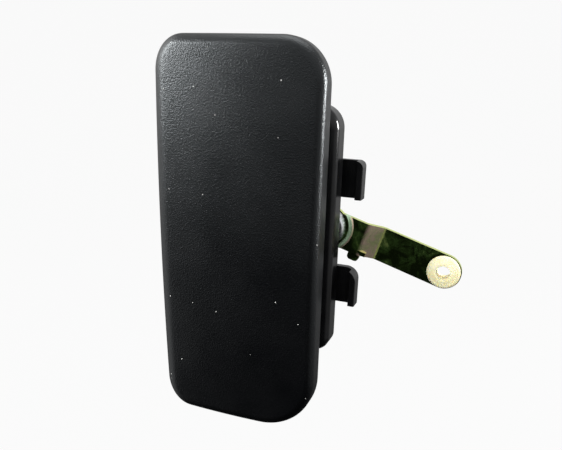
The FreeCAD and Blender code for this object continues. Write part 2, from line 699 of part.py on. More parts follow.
def make_stud_seals():
    """Foam rings that seal the door skin round the studs."""
    seals = []
    for name, side in stud_places():
        body = new_body(f"stud_seal_{name}")
        ring = sketch_on(body, f"seal_ring_{name}", "XZ_Plane")
        for radius in ("seal_radius", "stud_collar_radius"):
            add_circle(ring, 0, side * size("stud_height"), radius)
        pad(body, ring, "Sizes.base_back")
        seals.append(body)
    return group("stud_seals", seals)


# ---------------------------------------------------------------- bell crank
def lever_direction():
    """Unit direction of the outer leg from the pivot, as an angle below +X in degrees."""
    run = size("lever_x") - size("pivot_x")
    drop = size("pivot_z") - size("lever_z")
    return math.degrees(math.atan2(drop, run)), math.hypot(run, drop)


def round_ended_bar(label, length, half_width):
    """Bar along X from the pivot, with a round far end, that trims the sheet to one leg's outline."""
    bar = new_body(label)
    outline = sketch_on(bar, label + "_sketch", "XZ_Plane")
    end, corner = length + half_width, half_width - 0.01
    points = [(0, half_width), (end, half_width), (end, -half_width), (0, -half_width)]
    add_polygon(outline, points, [0, corner, corner, 0])
    pad(bar, outline, f"{THROUGH}", reverse=True)
    return bar


def make_bell_crank():
    """Pressed steel bell crank with joggled outer leg, input arm, hub bead, edge flange and tab."""
    drop_angle, length = lever_direction()
    place = Placement(Vector(size("pivot_x"), 0, size("pivot_z")), Rotation(Vector(0, 1, 0), drop_angle))
    front, thick, step = size("lever_front"), size("lever_thick"), size("joggle_step")
    start, end = size("joggle_start"), size("joggle_end")

    sheet_body = new_body("crank_sheet")
    section = sketch_on(sheet_body, "crank_section", "XY_Plane")
    low, high = front + step, front + step + thick
    bend = 0.7
    tip = length + FAR_OUTSIDE
    profile = [
        (-THROUGH, front), (start, front), (end, low), (tip, low),
        (tip, high), (end - bend, high), (start - bend, front + thick), (-THROUGH, front + thick),
    ]
    add_polygon(section, profile, [0, 3.2, 1.6, 0, 0, 3.4, 1.4, 0])
    sheet_pad = pad(sheet_body, section, f"{2 * THROUGH}")
    sheet_pad.Midplane = True
    bead = doc.addObject("Part::Torus", "hub_bead")
    bind(bead, Radius1="Sizes.bead_radius", Radius2="Sizes.bead_half_thick")
    bead.Placement = Placement(Vector(0, front + size("bead_rise"), 0), Rotation(Vector(1, 0, 0), 90))
    beaded = doc.addObject("Part::Fuse", "beaded_sheet")
    beaded.Base = sheet_body
    beaded.Tool = bead

    half = size("lever_half_width")
    leg = round_ended_bar("crank_leg_outline", length, half)
    arm = round_ended_bar("crank_arm_outline", size("arm_length"), size("arm_half_width"))
    arm.Placement = Placement(Vector(), Rotation(Vector(0, 1, 0), -size("arm_angle") - drop_angle))
    hub = doc.addObject("Part::Cylinder", "crank_hub_outline")
    bind(hub, Radius="Sizes.lever_hub_radius", Height=f"{THROUGH}")
    hub.Placement = Placement(Vector(), Rotation(Vector(1, 0, 0), -90))
    outline = doc.addObject("Part::MultiFuse", "crank_outline")
    outline.Shapes = [leg, arm, hub]
    blank = doc.addObject("Part::Common", "crank_blank")
    blank.Base = beaded
    blank.Tool = outline

    edge = new_body("crank_edge")
    flange = sketch_on(edge, "edge_flange", "YZ_Plane", (0, 0, size("flange_start")))
    depth = size("flange_depth")
    add_polygon(
        flange,
        [(front, -half + thick), (front, -half), (front + depth, -half), (front + depth, -half + thick)],
        [0, 1.6, 0, 0],
    )
    pad(edge, flange, "Sizes.flange_end - Sizes.flange_start")
    tab = sketch_on(edge, "edge_tab", "XZ_Plane", (0, 0, -front - 1.0))
    tab_start, tab_end, drop = size("tab_start"), size("tab_end"), -size("tab_drop")
    root = -half + 1.0
    tab_points = [(tab_start, root), (tab_end, root), (tab_end, drop), (tab_start, drop)]
    add_polygon(tab, tab_points, [0, 0, 1.4, 1.4])
    pad(edge, tab, "Sizes.lever_thick", reverse=True)

    holes = []
    for name, along, radius in (
        ("hub_hole", 0.0, "Sizes.pivot_bush_radius"),
        ("rod_hole", length, "Sizes.rod_shank_radius + Sizes.running_gap"),
    ):
        hole = doc.addObject("Part::Cylinder", name)
        bind(hole, Radius=radius, Height=f"{THROUGH}")
        hole.Placement = Placement(Vector(along, 0, 0), Rotation(Vector(1, 0, 0), -90))
        holes.append(hole)
    cutters = doc.addObject("Part::MultiFuse", "crank_holes")
    cutters.Shapes = holes
    solid = doc.addObject("Part::MultiFuse", "crank_solid")
    solid.Shapes = [blank, edge]
    crank = doc.addObject("Part::Cut", "bell_crank")
    crank.Base = solid
    crank.Tool = cutters
    crank.Label = "bell_crank"
    crank.Placement = place
    return crank


def make_pivot():
    """Shoulder rivet, spring cup, flanged pivot bush and washer, all turned about the pivot."""
    place = at("Sizes.pivot_x", "0", "Sizes.pivot_z")
    radius, head = size("rivet_radius"), size("rivet_head_radius")
    boss, front, thick = size("boss_back"), size("lever_front"), size("lever_thick")
    washer_start = front + thick + 0.15
    washer_end = washer_start + size("washer_thick")
    head_start = washer_end + 0.05
    depth = size("rivet_depth")
    rivet = turned("pivot_rivet", [
        (0, -depth), (radius, -depth), (radius, head_start), (head, head_start),
        (head, head_start + 0.6), (head * 0.75, head_start + 1.5), (head * 0.4, head_start + 1.9),
        (0, head_start + 1.9),
    ], place)
    cup_radius, wall = size("cup_radius"), size("cup_wall")
    cup_end = boss + size("cup_depth")
    cup = turned("spring_cup", [
        (radius, boss), (cup_radius - 0.6, boss), (cup_radius, boss + 0.6), (cup_radius, cup_end),
        (cup_radius - wall, cup_end), (cup_radius - wall, boss + wall), (radius, boss + wall),
    ], place)
    sleeve, flange = size("pivot_bush_radius"), size("pivot_flange_radius")
    inner = radius + size("running_gap")
    bush = turned("pivot_bush", [
        (inner, boss + wall + 0.1), (sleeve - 0.3, boss + wall + 0.1), (sleeve - 0.3, front - 0.8),
        (flange, front - 0.8), (flange, front), (sleeve, front), (sleeve, washer_start - 0.05),
        (inner, washer_start - 0.05),
    ], place)
    washer_radius = size("washer_radius")
    washer = turned("pivot_washer", [
        (radius, washer_start), (washer_radius, washer_start), (washer_radius, washer_end),
        (radius, washer_end),
    ], place)
    notch = sketch_on(cup, "leg_notch", "XY_Plane", (0, 0, -size("notch_below")))
    outside, deep, tall = -cup_radius - 3.0, boss + 2.0, cup_end + 3.0
    inside = -radius - 1.0
    add_polygon(notch, [(inside, deep), (outside, deep), (outside, tall), (inside, tall)])
    pocket(cup, notch, f"{FAR_OUTSIDE}", reverse=True)
    return [rivet, cup, bush, washer]


def make_crank_spring():
    """Torsion spring in the cup; its moving leg hooks round the input arm's far edge."""
    x, z, radius = size("pivot_x"), size("pivot_z"), size("crank_coil_radius")
    wire, pitch = size("crank_wire_radius"), size("crank_coil_pitch")
    turns = int(size("crank_coil_turns"))
    first = size("boss_back") + size("cup_wall") + wire + 0.05
    rings = coil_rings(
        "crank_coil", "crank_coil_radius", "crank_wire_radius", turns,
        Vector(x, first, z), Vector(0, pitch, 0),
    )
    centre = Vector(x, first + pitch * (turns - 1), z)
    arm_turn = Rotation(Vector(0, 1, 0), -size("arm_angle"))
    arm_edge = size("arm_half_width") + wire + 0.1
    corner = centre + arm_turn.multVec(Vector(size("arm_length") * 0.7, 0, arm_edge))
    away = corner - centre
    tangent_turn = math.degrees(math.acos(radius / away.Length))
    start = centre + Rotation(Vector(0, 1, 0), -tangent_turn).multVec(away * (radius / away.Length))
    behind = Vector(corner.x, size("lever_front") + size("lever_thick") + 1.2, corner.z)
    legs = [
        wire_leg("arm_leg", "crank_wire_radius", start, corner),
        wire_leg("arm_hook", "crank_wire_radius", corner, behind),
    ]
    elbow = doc.addObject("Part::Sphere", "hook_elbow")
    bind(elbow, Radius="Sizes.crank_wire_radius")
    elbow.Placement.Base = corner
    spring = doc.addObject("Part::MultiFuse", "crank_spring")
    spring.Shapes = rings + legs + [elbow]
    spring.Label = "crank_spring"
    return spring


def make_rod_bush():
    """Nylon snap bush for the latch rod: dished front flange, shank and rear snap lip."""
    bore, flange, thick = size("rod_bore_radius"), size("rod_flange_radius"), size("rod_flange_thick")
    shank, snap = size("rod_shank_radius"), size("rod_snap_radius")
    front = size("lever_front") + size("joggle_step")
    back = front + size("lever_thick")
    profile = [
        (bore, front - thick - 0.5), (bore + 0.9, front - thick - 0.5), (flange - 0.6, front - thick),
        (flange, front - thick + 0.5), (flange, front - 0.05), (shank, front - 0.05), (shank, back + 0.05),
        (snap, back + 0.05), (shank, back + 2.2), (bore, back + 2.2),
    ]
    return turned("rod_bush", profile, at("Sizes.lever_x", "0", "Sizes.lever_z"))


# ---------------------------------------------------------------- assembly and export
nodes = [
    make_paddle_shell(), make_paddle_carrier(), make_carrier_screws(), make_cam_shoe(),
    make_hinge_bushes(), make_hinge_pin(), make_hinge_pin_clip(), make_paddle_spring(),
    make_base(), make_gasket(), make_stop_bumpers(), make_studs(), make_stud_seals(),
    make_bell_crank(), *make_pivot(), make_crank_spring(), make_rod_bush(),
]
doc.recompute()

for item in doc.Objects:
    if "Invalid" in item.State or "Error" in item.State:
        raise RuntimeError(f"{item.Name} failed: {item.State}")
for node in nodes:
    shape = node.Shape
    if shape.isNull() or not shape.isValid() or not shape.Solids:
        raise RuntimeError(f"{node.Label} is not a valid solid")
    print(f"{node.Label:16s} solids {len(shape.Solids)}  volume {shape.Volume:9.1f} mm3")
    shape.exportStep(f"parts/{node.Label}.step")
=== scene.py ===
"""Looks of a flap-type outside door handle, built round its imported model.

Everything is in metres in the part's own frame: +X towards the hinge side, +Y into the door,
+Z up the handle's long axis.
"""
import json
import logging
import math
from collections.abc import Callable, Sequence
from dataclasses import dataclass, field
from enum import Enum
from functools import cache

import bmesh
import bpy
from mathutils import Matrix, Vector


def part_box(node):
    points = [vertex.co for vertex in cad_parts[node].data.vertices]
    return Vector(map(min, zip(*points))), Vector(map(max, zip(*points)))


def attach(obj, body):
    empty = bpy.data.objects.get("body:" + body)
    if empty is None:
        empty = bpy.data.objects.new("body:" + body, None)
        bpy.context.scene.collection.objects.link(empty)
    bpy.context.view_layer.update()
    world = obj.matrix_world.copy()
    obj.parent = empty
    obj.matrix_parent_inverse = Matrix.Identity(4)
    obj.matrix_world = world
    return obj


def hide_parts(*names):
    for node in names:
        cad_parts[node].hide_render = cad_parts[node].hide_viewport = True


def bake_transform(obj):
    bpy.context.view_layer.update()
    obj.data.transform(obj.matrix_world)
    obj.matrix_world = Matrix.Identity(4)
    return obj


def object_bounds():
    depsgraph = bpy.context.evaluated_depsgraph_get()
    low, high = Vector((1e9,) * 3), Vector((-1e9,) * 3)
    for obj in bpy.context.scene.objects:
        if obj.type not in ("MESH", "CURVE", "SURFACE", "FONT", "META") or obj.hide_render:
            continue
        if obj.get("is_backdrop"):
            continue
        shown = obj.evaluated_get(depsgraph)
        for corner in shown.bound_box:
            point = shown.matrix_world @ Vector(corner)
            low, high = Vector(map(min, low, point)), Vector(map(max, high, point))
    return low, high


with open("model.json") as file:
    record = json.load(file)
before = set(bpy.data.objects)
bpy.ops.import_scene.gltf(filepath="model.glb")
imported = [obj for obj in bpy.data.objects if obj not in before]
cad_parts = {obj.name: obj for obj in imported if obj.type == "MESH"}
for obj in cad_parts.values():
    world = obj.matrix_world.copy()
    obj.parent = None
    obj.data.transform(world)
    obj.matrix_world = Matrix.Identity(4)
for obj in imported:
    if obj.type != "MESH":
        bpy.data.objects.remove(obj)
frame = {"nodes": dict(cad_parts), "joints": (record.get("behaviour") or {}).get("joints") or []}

LOG = logging.getLogger("door_handle")
MM = 0.001
SCREW_HEAD = 2.8 * MM
SHARP_ANGLE = 35.0
WIRE_SHARP_ANGLE = 60.0
MERGE_DISTANCE = 1e-6
WIRE_SIDES = 14
NOISE_MIDDLE = (0.3, 0.7)  # most of a noise texture's values lie between these

Pair = tuple[float, float]
Colour = tuple[float, float, float]
Levels = tuple[Pair, ...]
Stops = Sequence[tuple[float, Colour]]
Inputs = dict[str, object]
Node = bpy.types.Node
Socket = bpy.types.NodeSocket
Mesh = bpy.types.Mesh
Object = bpy.types.Object


@cache
def packed_box(node: str) -> tuple[Vector, Vector]:
    """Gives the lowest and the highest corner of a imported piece."""
    low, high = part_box(node)
    return Vector(low), Vector(high)


def joint_place(name: str) -> Vector:
    """Gives a point on the axis of a named joint."""
    found = next(joint for joint in frame["joints"] if joint["name"] == name)
    return Vector(found["pos_m"])


# ---- node graphs
class Graph:
    """A node tree with short ways to add nodes and to join them."""

    def __init__(self, tree: bpy.types.NodeTree) -> None:
        """Keeps the shader or geometry node tree that the other methods work on."""
        self.tree = tree

    def add(self, kind: str, inputs: Inputs | None = None, **settings: object) -> Node:
        """Adds a node.

        Args:
            kind: The node's type name.
            inputs: Values or output sockets for its inputs, by name or by number in text.
            **settings: Properties of the node itself.

        Returns:
            The new node.
        """
        node = self.tree.nodes.new(kind)
        for name, value in settings.items():
            setattr(node, name, value)
        for name, value in (inputs or {}).items():
            socket = node.inputs[int(name)] if name.isdigit() else node.inputs[name]
            if isinstance(value, Socket):
                self.tree.links.new(value, socket)
            else:
                socket.default_value = value
        return node

    def math(self, operation: str, *values: object) -> Socket:
        """Adds a Math node for numbers or output sockets, and gives its result."""
        inputs = {str(index): value for index, value in enumerate(values)}
        return self.add("ShaderNodeMath", inputs, operation=operation).outputs[0]

    def noise(self, place: Socket, scale: float, detail: float, **more: float) -> Socket:
        """Adds a noise texture, its scale per metre, and gives values mostly within NOISE_MIDDLE."""
        inputs = {"Vector": place, "Scale": scale, "Detail": detail, **more}
        return self.add("ShaderNodeTexNoise", inputs).outputs["Fac"]

    def cells(self, place: Socket, size: float, **settings: object) -> Node:
        """Adds a Voronoi texture with cells of a size in metres."""
        return self.add("ShaderNodeTexVoronoi", {"Vector": place, "Scale": 1 / size}, **settings)

    def share(
        self, value: Socket, start: float, end: float, low: float = 0.0, high: float = 1.0, **settings: object
    ) -> Socket:
        """Adds a number that runs from low where value is start to high where it is end, and no further."""
        inputs = {"Value": value, "From Min": start, "From Max": end, "To Min": low, "To Max": high}
        return self.add("ShaderNodeMapRange", inputs, **settings).outputs["Result"]

    def ramp(self, factor: Socket, stops: Stops) -> Socket:
        """Adds a colour ramp.

        Args:
            factor: What the ramp reads.
            stops: Places from 0 to 1 with their colours.

        Returns:
            The colour.
        """
        node = self.add("ShaderNodeValToRGB", {"Fac": factor})
        elements = node.color_ramp.elements
        while len(elements) < len(stops):
            elements.new(0.5)
        for element, (place, colour) in zip(elements, stops):
            element.position = place
            element.color = (*colour, 1.0)
        return node.outputs["Color"]

    def blend(self, part: Socket, first: Socket | Colour, second: Socket | Colour) -> Socket:
        """Adds a mix that shows the first colour where part is 0 and the second where it is 1."""
        start, end = [(*tint, 1.0) if isinstance(tint, tuple) else tint for tint in (first, second)]
        return self.add("ShaderNodeMix", {"Factor": part, "6": start, "7": end}, data_type="RGBA").outputs[2]

    def bump(self, height: Socket, depth: float) -> Socket:
        """Adds a bump node and gives its normal; depth is what a height of 1 stands for, in metres."""
        return self.add("ShaderNodeBump", {"Height": height, "Distance": depth}).outputs["Normal"]


# ---- finishes
class Finish:
    """Base of all finishes: makes its material once and hands it out again."""

    name: str

    def material(self) -> bpy.types.Material:
        """Makes the finish's material on first use.

        Returns:
            The material.
        """
        label = f"{self.name}_finish"
        found = bpy.data.materials.get(label)
        if found:
            return found
        made = bpy.data.materials.new(label)
        made.use_nodes = True
        made.node_tree.nodes.clear()
        graph = Graph(made.node_tree)
        place = graph.add("ShaderNodeTexCoord").outputs["Object"]
        shader = graph.add("ShaderNodeBsdfPrincipled", self.shader_inputs(graph, place))
        graph.add("ShaderNodeOutputMaterial", {"Surface": shader.outputs[0]})
        return made

    def shader_inputs(self, graph: Graph, place: Socket) -> Inputs:
        """Works out the shader's inputs by name; each finish has its own way."""
        raise NotImplementedError


@dataclass(frozen=True)
class GrainedPlastic(Finish):
    """Black plastic with a fine leather grain, soft gloss and a few specks of dust."""

    name: str = "grained_plastic"
    tints: Stops = ((0.35, (0.0013, 0.0014, 0.0017)), (0.75, (0.0022, 0.0023, 0.0026)))
    dust: Colour = (0.5, 0.5, 0.48)
    grain: float = 0.42 * MM
    grain_depth: float = 0.08 * MM
    pores_per_grain: float = 2.2
    pore_height: float = 0.45
    cloud_scale: float = 45.0
    speck_spacing: float = 4.5 * MM
    speck_radius: float = 0.045
    bare_cells: float = 0.45
    roughness: Pair = (0.27, 0.34)
    shine: float = 0.42
    shine_tint: Colour = (0.9, 0.97, 1.0)

    def shader_inputs(self, graph: Graph, place: Socket) -> Inputs:
        """Works out grain, gloss and dust.

        Args:
            graph: The material's graph.
            place: Object coordinates.

        Returns:
            The inputs by name.
        """
        leather = graph.cells(place, self.grain, feature="SMOOTH_F1").outputs["Distance"]
        pores = graph.noise(place, self.pores_per_grain / self.grain, 2.0)
        cloud = graph.noise(place, self.cloud_scale, 3.0)
        specks = graph.cells(place, self.speck_spacing).outputs
        near = graph.math("LESS_THAN", specks["Distance"], self.speck_radius)
        chosen = graph.add("ShaderNodeSeparateColor", {"Color": specks["Color"]}).outputs["Red"]
        dusty = graph.math("MULTIPLY", near, graph.math("GREATER_THAN", chosen, self.bare_cells))
        height = graph.math("MULTIPLY_ADD", pores, self.pore_height, leather)
        return {
            "Base Color": graph.blend(dusty, graph.ramp(cloud, self.tints), self.dust),
            "Roughness": graph.share(cloud, *NOISE_MIDDLE, *self.roughness),
            "Normal": graph.bump(height, self.grain_depth),
            "Specular IOR Level": self.shine,
            "Specular Tint": (*self.shine_tint, 1.0),
        }


@dataclass(frozen=True)
class SatinPaint(Finish):
    """Black coat on die-cast metal or moulded plastic, with a faint orange peel."""

    name: str = "satin_paint"
    colour: Colour = (0.0018, 0.0019, 0.0022)
    light: Colour = (0.0035, 0.0035, 0.0038)
    roughness: Pair = (0.15, 0.24)
    peel: float = 1.6 * MM
    peel_depth: float = 0.02 * MM
    cloud_scale: float = 90.0
    shine: float = 0.38

    def shader_inputs(self, graph: Graph, place: Socket) -> Inputs:
        """Works out the peel and the uneven gloss.

        Args:
            graph: The material's graph.
            place: Object coordinates.

        Returns:
            The inputs by name.
        """
        cloud = graph.noise(place, self.cloud_scale, 4.0)
        return {
            "Base Color": graph.ramp(cloud, ((0.3, self.colour), (0.8, self.light))),
            "Roughness": graph.share(cloud, *NOISE_MIDDLE, *self.roughness),
            "Normal": graph.bump(graph.noise(place, 1 / self.peel, 2.0), self.peel_depth),
            "Specular IOR Level": self.shine,
        }


@dataclass(frozen=True)
class PlatedSteel(Finish):
    """Zinc-plated or bare steel: cloudy tint, drawn streaks and fine scratches."""

    name: str
    tints: tuple[Colour, ...]
    roughness: Pair
    cloud_scale: float = 70.0
    streak_stretch: tuple[float, float, float] = (1.0, 1.0, 12.0)
    streak_scale: float = 420.0
    streak_bend: float = 0.0
    scratch_depth: float = 0.006 * MM
    metallic: float = 1.0

    def surface(self, graph: Graph, place: Socket) -> Socket:
        """Adds the plating's colour.

        Args:
            graph: The material's graph.
            place: Object coordinates.

        Returns:
            The colour.
        """
        cloud = graph.noise(place, self.cloud_scale, 3.0, Distortion=0.6)
        last = len(self.tints) - 1
        stops = [(index / last, tint) for index, tint in enumerate(self.tints)]
        return graph.ramp(graph.share(cloud, *NOISE_MIDDLE), stops)

    def shader_inputs(self, graph: Graph, place: Socket) -> Inputs:
        """Works out the plating's colours, streaks and scratches.

        Args:
            graph: The material's graph.
            place: Object coordinates.

        Returns:
            The inputs by name.
        """
        stretched = graph.add("ShaderNodeMapping", {"Vector": place, "Scale": self.streak_stretch})
        streaks = graph.noise(stretched.outputs[0], self.streak_scale, 4.0, Distortion=self.streak_bend)
        return {
            "Base Color": self.surface(graph, place),
            "Roughness": graph.share(streaks, *NOISE_MIDDLE, *self.roughness),
            "Normal": graph.bump(streaks, self.scratch_depth),
            "Metallic": self.metallic,
        }


@dataclass(frozen=True)
class YellowChromate(PlatedSteel):
    """Glossy yellow chromate with light and shade painted into its colour by which way the sheet faces:
    painted shade, a near-black green, on the flat faces, a painted reflection, olive brown, on sloped faces,
    and a painted highlight, lime, on the edges.

    A painted tint fades in between the two values of its _turn, which are components of the normal; a painted
    reflection rings the pivot and a painted highlight runs along the outer bend.
    """

    name: str = "yellow_chromate"
    # Painted shade: flat faces get a near-black green, darker than the plating itself, mottled at random.
    tints: tuple[Colour, ...] = ((0.012, 0.020, 0.005), (0.055, 0.11, 0.025), (0.30, 0.40, 0.12))
    tint_places: tuple[float, ...] = (0.42, 0.58, 0.74)
    # Painted reflection: olive brown on faces sloped towards +X.
    slope: Stops = ((0.44, (0.82, 0.62, 0.48)), (0.6, (0.56, 0.60, 0.30)))
    slope_turn: Pair = (0.12, 0.5)
    # Painted highlight: lime on faces turned sideways, the sheet's edges.
    edge: Colour = (0.74, 0.84, 0.28)
    edge_turn: Pair = (-0.55, -0.2)
    # Painted light: a brighter olive on faces turned into the door (+Y).
    back: Colour = (0.26, 0.25, 0.09)
    back_turn: Pair = (0.3, 0.7)
    # Painted reflection: a mint band round the pivot, between the two ring radii.
    ring_tint: Colour = (0.72, 1.0, 0.66)
    ring: Pair = (7.9 * MM, 9.8 * MM)
    ring_core: float = 0.4
    # Painted highlight: lime along the outer bend, on sloped faces far from the pivot.
    bend_turn: Pair = (0.06, 0.2)
    bend_turn_out: Pair = (0.58, 0.44)
    outer_bend: float = 18.0 * MM
    bend_fade: float = 0.5 * MM
    roughness: Pair = (0.12, 0.24)
    cloud_scale: float = 130.0
    streak_stretch: tuple[float, float, float] = (1.0, 1.0, 5.0)
    streak_scale: float = 380.0
    streak_bend: float = 0.8
    scratch_depth: float = 0.008 * MM
    metallic: float = 0.8

    def surface(self, graph: Graph, place: Socket) -> Socket:
        """Adds the painted light and shade that follow which way the sheet faces.

        Args:
            graph: The material's graph.
            place: Object coordinates.

        Returns:
            The colour.
        """
        cloud = graph.noise(place, self.cloud_scale, 4.0, Roughness=0.65, Distortion=1.2)
        normal = graph.add("ShaderNodeTexCoord").outputs["Normal"]
        axes = graph.add("ShaderNodeSeparateXYZ", {"Vector": normal}).outputs
        # Painted shade on the flat faces, with random mottling.
        flat = graph.ramp(cloud, list(zip(self.tint_places, self.tints)))
        # Painted reflection on faces sloped towards +X.
        colour = graph.blend(graph.share(axes["X"], *self.slope_turn), flat, graph.ramp(cloud, self.slope))
        # Painted highlight on faces turned sideways, the sheet's edges.
        colour = graph.blend(graph.share(axes["Y"], *self.edge_turn), colour, self.edge)
        # Painted light on faces turned into the door.
        colour = graph.blend(graph.share(axes["Y"], *self.back_turn), colour, self.back)
        # Painted reflection: a mint band round the pivot.
        away = self.from_hub(graph, place)
        inner, outer = self.ring
        middle, half = (inner + outer) / 2, (outer - inner) / 2
        off = graph.math("ABSOLUTE", graph.math("SUBTRACT", away, middle))
        colour = graph.blend(graph.share(off, half, self.ring_core * half), colour, self.ring_tint)
        # Painted highlight along the outer bend, past outer_bend from the pivot.
        turns = [graph.share(axes["X"], *turn) for turn in (self.bend_turn, self.bend_turn_out)]
        beyond = graph.share(away, self.outer_bend, self.outer_bend + self.bend_fade)
        return graph.blend(graph.math("MULTIPLY", graph.math("MULTIPLY", *turns), beyond), colour, self.edge)

    def from_hub(self, graph: Graph, place: Socket) -> Socket:
        """Adds the distance from the pivot, seen along it.

        Args:
            graph: The material's graph.
            place: Object coordinates.

        Returns:
            The distance.
        """
        hub = joint_place("crank_pivot")
        level = graph.add("ShaderNodeVectorMath", {"0": place, "1": (1.0, 0.0, 1.0)}, operation="MULTIPLY")
        ends = {"0": level.outputs[0], "1": (hub.x, 0.0, hub.z)}
        return graph.add("ShaderNodeVectorMath", ends, operation="DISTANCE").outputs["Value"]


@dataclass(frozen=True)
class Nylon(Finish):
    """Natural nylon: ivory, waxy and a little translucent."""

    name: str = "natural_nylon"
    tints: Stops = ((0.3, (0.84, 0.78, 0.46)), (0.7, (0.90, 0.84, 0.60)))
    roughness: Pair = (0.3, 0.48)
    cloud_scale: float = 260.0
    mark_scale: float = 1500.0
    mark_depth: float = 0.01 * MM
    milkiness: float = 0.35
    glow_shares: tuple[float, float, float] = (1.0, 0.8, 0.45)
    glow_reach: float = 1.2 * MM

    def shader_inputs(self, graph: Graph, place: Socket) -> Inputs:
        """Works out the mottled colour, the wax and the moulding marks.

        Args:
            graph: The material's graph.
            place: Object coordinates.

        Returns:
            The inputs by name.
        """
        cloud = graph.noise(place, self.cloud_scale, 3.0)
        return {
            "Base Color": graph.ramp(cloud, self.tints),
            "Roughness": graph.share(cloud, 0.0, 1.0, *self.roughness),
            "Normal": graph.bump(graph.noise(place, self.mark_scale, 2.0), self.mark_depth),
            "Subsurface Weight": self.milkiness,
            "Subsurface Radius": self.glow_shares,
            "Subsurface Scale": self.glow_reach,
        }


@dataclass(frozen=True)
class SoftRubber(Finish):
    """Black rubber or foam: dull, with pores."""

    name: str
    pore: float
    pore_depth: float
    tints: Stops = ((0.35, (0.012, 0.012, 0.012)), (0.7, (0.022, 0.022, 0.021)))
    roughness: Pair = (0.65, 0.9)
    cloud_scale: float = 300.0

    def shader_inputs(self, graph: Graph, place: Socket) -> Inputs:
        """Works out the pores and the dusty tint.

        Args:
            graph: The material's graph.
            place: Object coordinates.

        Returns:
            The inputs by name.
        """
        cloud = graph.noise(place, self.cloud_scale, 4.0)
        return {
            "Base Color": graph.ramp(cloud, self.tints),
            "Roughness": graph.share(cloud, 0.0, 1.0, *self.roughness),
            "Normal": graph.bump(graph.cells(place, self.pore).outputs["Distance"], self.pore_depth),
        }


class Finishes(Enum):
    """Every finish on the handle."""

    COVER = GrainedPlastic()
    BASE = SatinPaint()
    CARRIER = SatinPaint("moulded_carrier", (0.007, 0.007, 0.0075), (0.012, 0.012, 0.012), (0.4, 0.55))
    CHROMATE = YellowChromate()
    ZINC = PlatedSteel(
        "clear_zinc", ((0.62, 0.66, 0.66), (0.78, 0.82, 0.80), (0.70, 0.72, 0.76)), (0.2, 0.36),
    )
    SPRING = PlatedSteel("spring_steel", ((0.22, 0.22, 0.23), (0.36, 0.35, 0.35)), (0.26, 0.42), 120.0)
    NYLON = Nylon()
    FOAM = SoftRubber("closed_cell_foam", 0.35 * MM, 0.08 * MM)
    RUBBER = SoftRubber("moulded_rubber", 0.18 * MM, 0.02 * MM)


# ---- mesh tools
def finished_object(
    name: str, mesh: Mesh, finish: Finishes, sharp: float = SHARP_ANGLE
) -> Object:
    """Puts a mesh in the scene as a finished piece, smooth except at its sharp edges.

    Args:
        name: The piece's name.
        mesh: Its mesh, in place.
        finish: Its finish.
        sharp: Angle past which an edge stays sharp, in degrees.

    Returns:
        The new object, at the origin.
    """
    if not mesh.materials:
        mesh.materials.append(finish.value.material())
    mesh.polygons.foreach_set("use_smooth", [True] * len(mesh.polygons))
    mesh.set_sharp_from_angle(angle=math.radians(sharp))
    piece = bpy.data.objects.new(name, mesh)
    bpy.context.collection.objects.link(piece)
    return piece


def stack_rings(rings: Sequence[Sequence[Vector]], name: str, joined: bool = False) -> Mesh:
    """Skins rings of equal length into one mesh.

    Args:
        rings: The rings in order, each a closed loop of points.
        name: The mesh's name.
        joined: Whether the last ring joins the first again.

    Returns:
        A mesh whose doubles are merged and whose faces point outwards.
    """
    shape = bmesh.new()
    loops = [[shape.verts.new(point) for point in ring] for ring in rings]
    pairs = list(zip(loops, loops[1:])) + ([(loops[-1], loops[0])] if joined else [])
    for lower, upper in pairs:
        for index in range(len(lower)):
            following = (index + 1) % len(lower)
            shape.faces.new((lower[index], lower[following], upper[following], upper[index]))
    bmesh.ops.remove_doubles(shape, verts=shape.verts, dist=MERGE_DISTANCE)
    bmesh.ops.recalc_face_normals(shape, faces=shape.faces)
    mesh = bpy.data.meshes.new(name)
    shape.to_mesh(mesh)
    shape.free()
    return mesh


def joined_mesh(meshes: Sequence[Mesh], name: str) -> Mesh:
    """Joins meshes into one.

    Args:
        meshes: What to join; they are removed.
        name: The joined mesh's name.

    Returns:
        The joined mesh.
    """
    shape = bmesh.new()
    for mesh in meshes:
        shape.from_mesh(mesh)
        bpy.data.meshes.remove(mesh)
    whole = bpy.data.meshes.new(name)
    shape.to_mesh(whole)
    shape.free()
    return whole


def turned_mesh(profile: Sequence[Pair], centre: Vector, name: str, steps: int = 64) -> Mesh:
    """Turns a closed profile about an axis along Y.

    Args:
        profile: Pairs of radius and distance along Y.
        centre: A point on the axis.
        name: The mesh's name.
        steps: Number of sides.

    Returns:
        The closed mesh.
    """
    angles = [2 * math.pi * step / steps for step in range(steps)]
    rings = []
    for radius, along in profile:
        rings.append([centre + Vector((radius * math.cos(a), along, radius * math.sin(a))) for a in angles])
    return stack_rings(rings, name, joined=True)


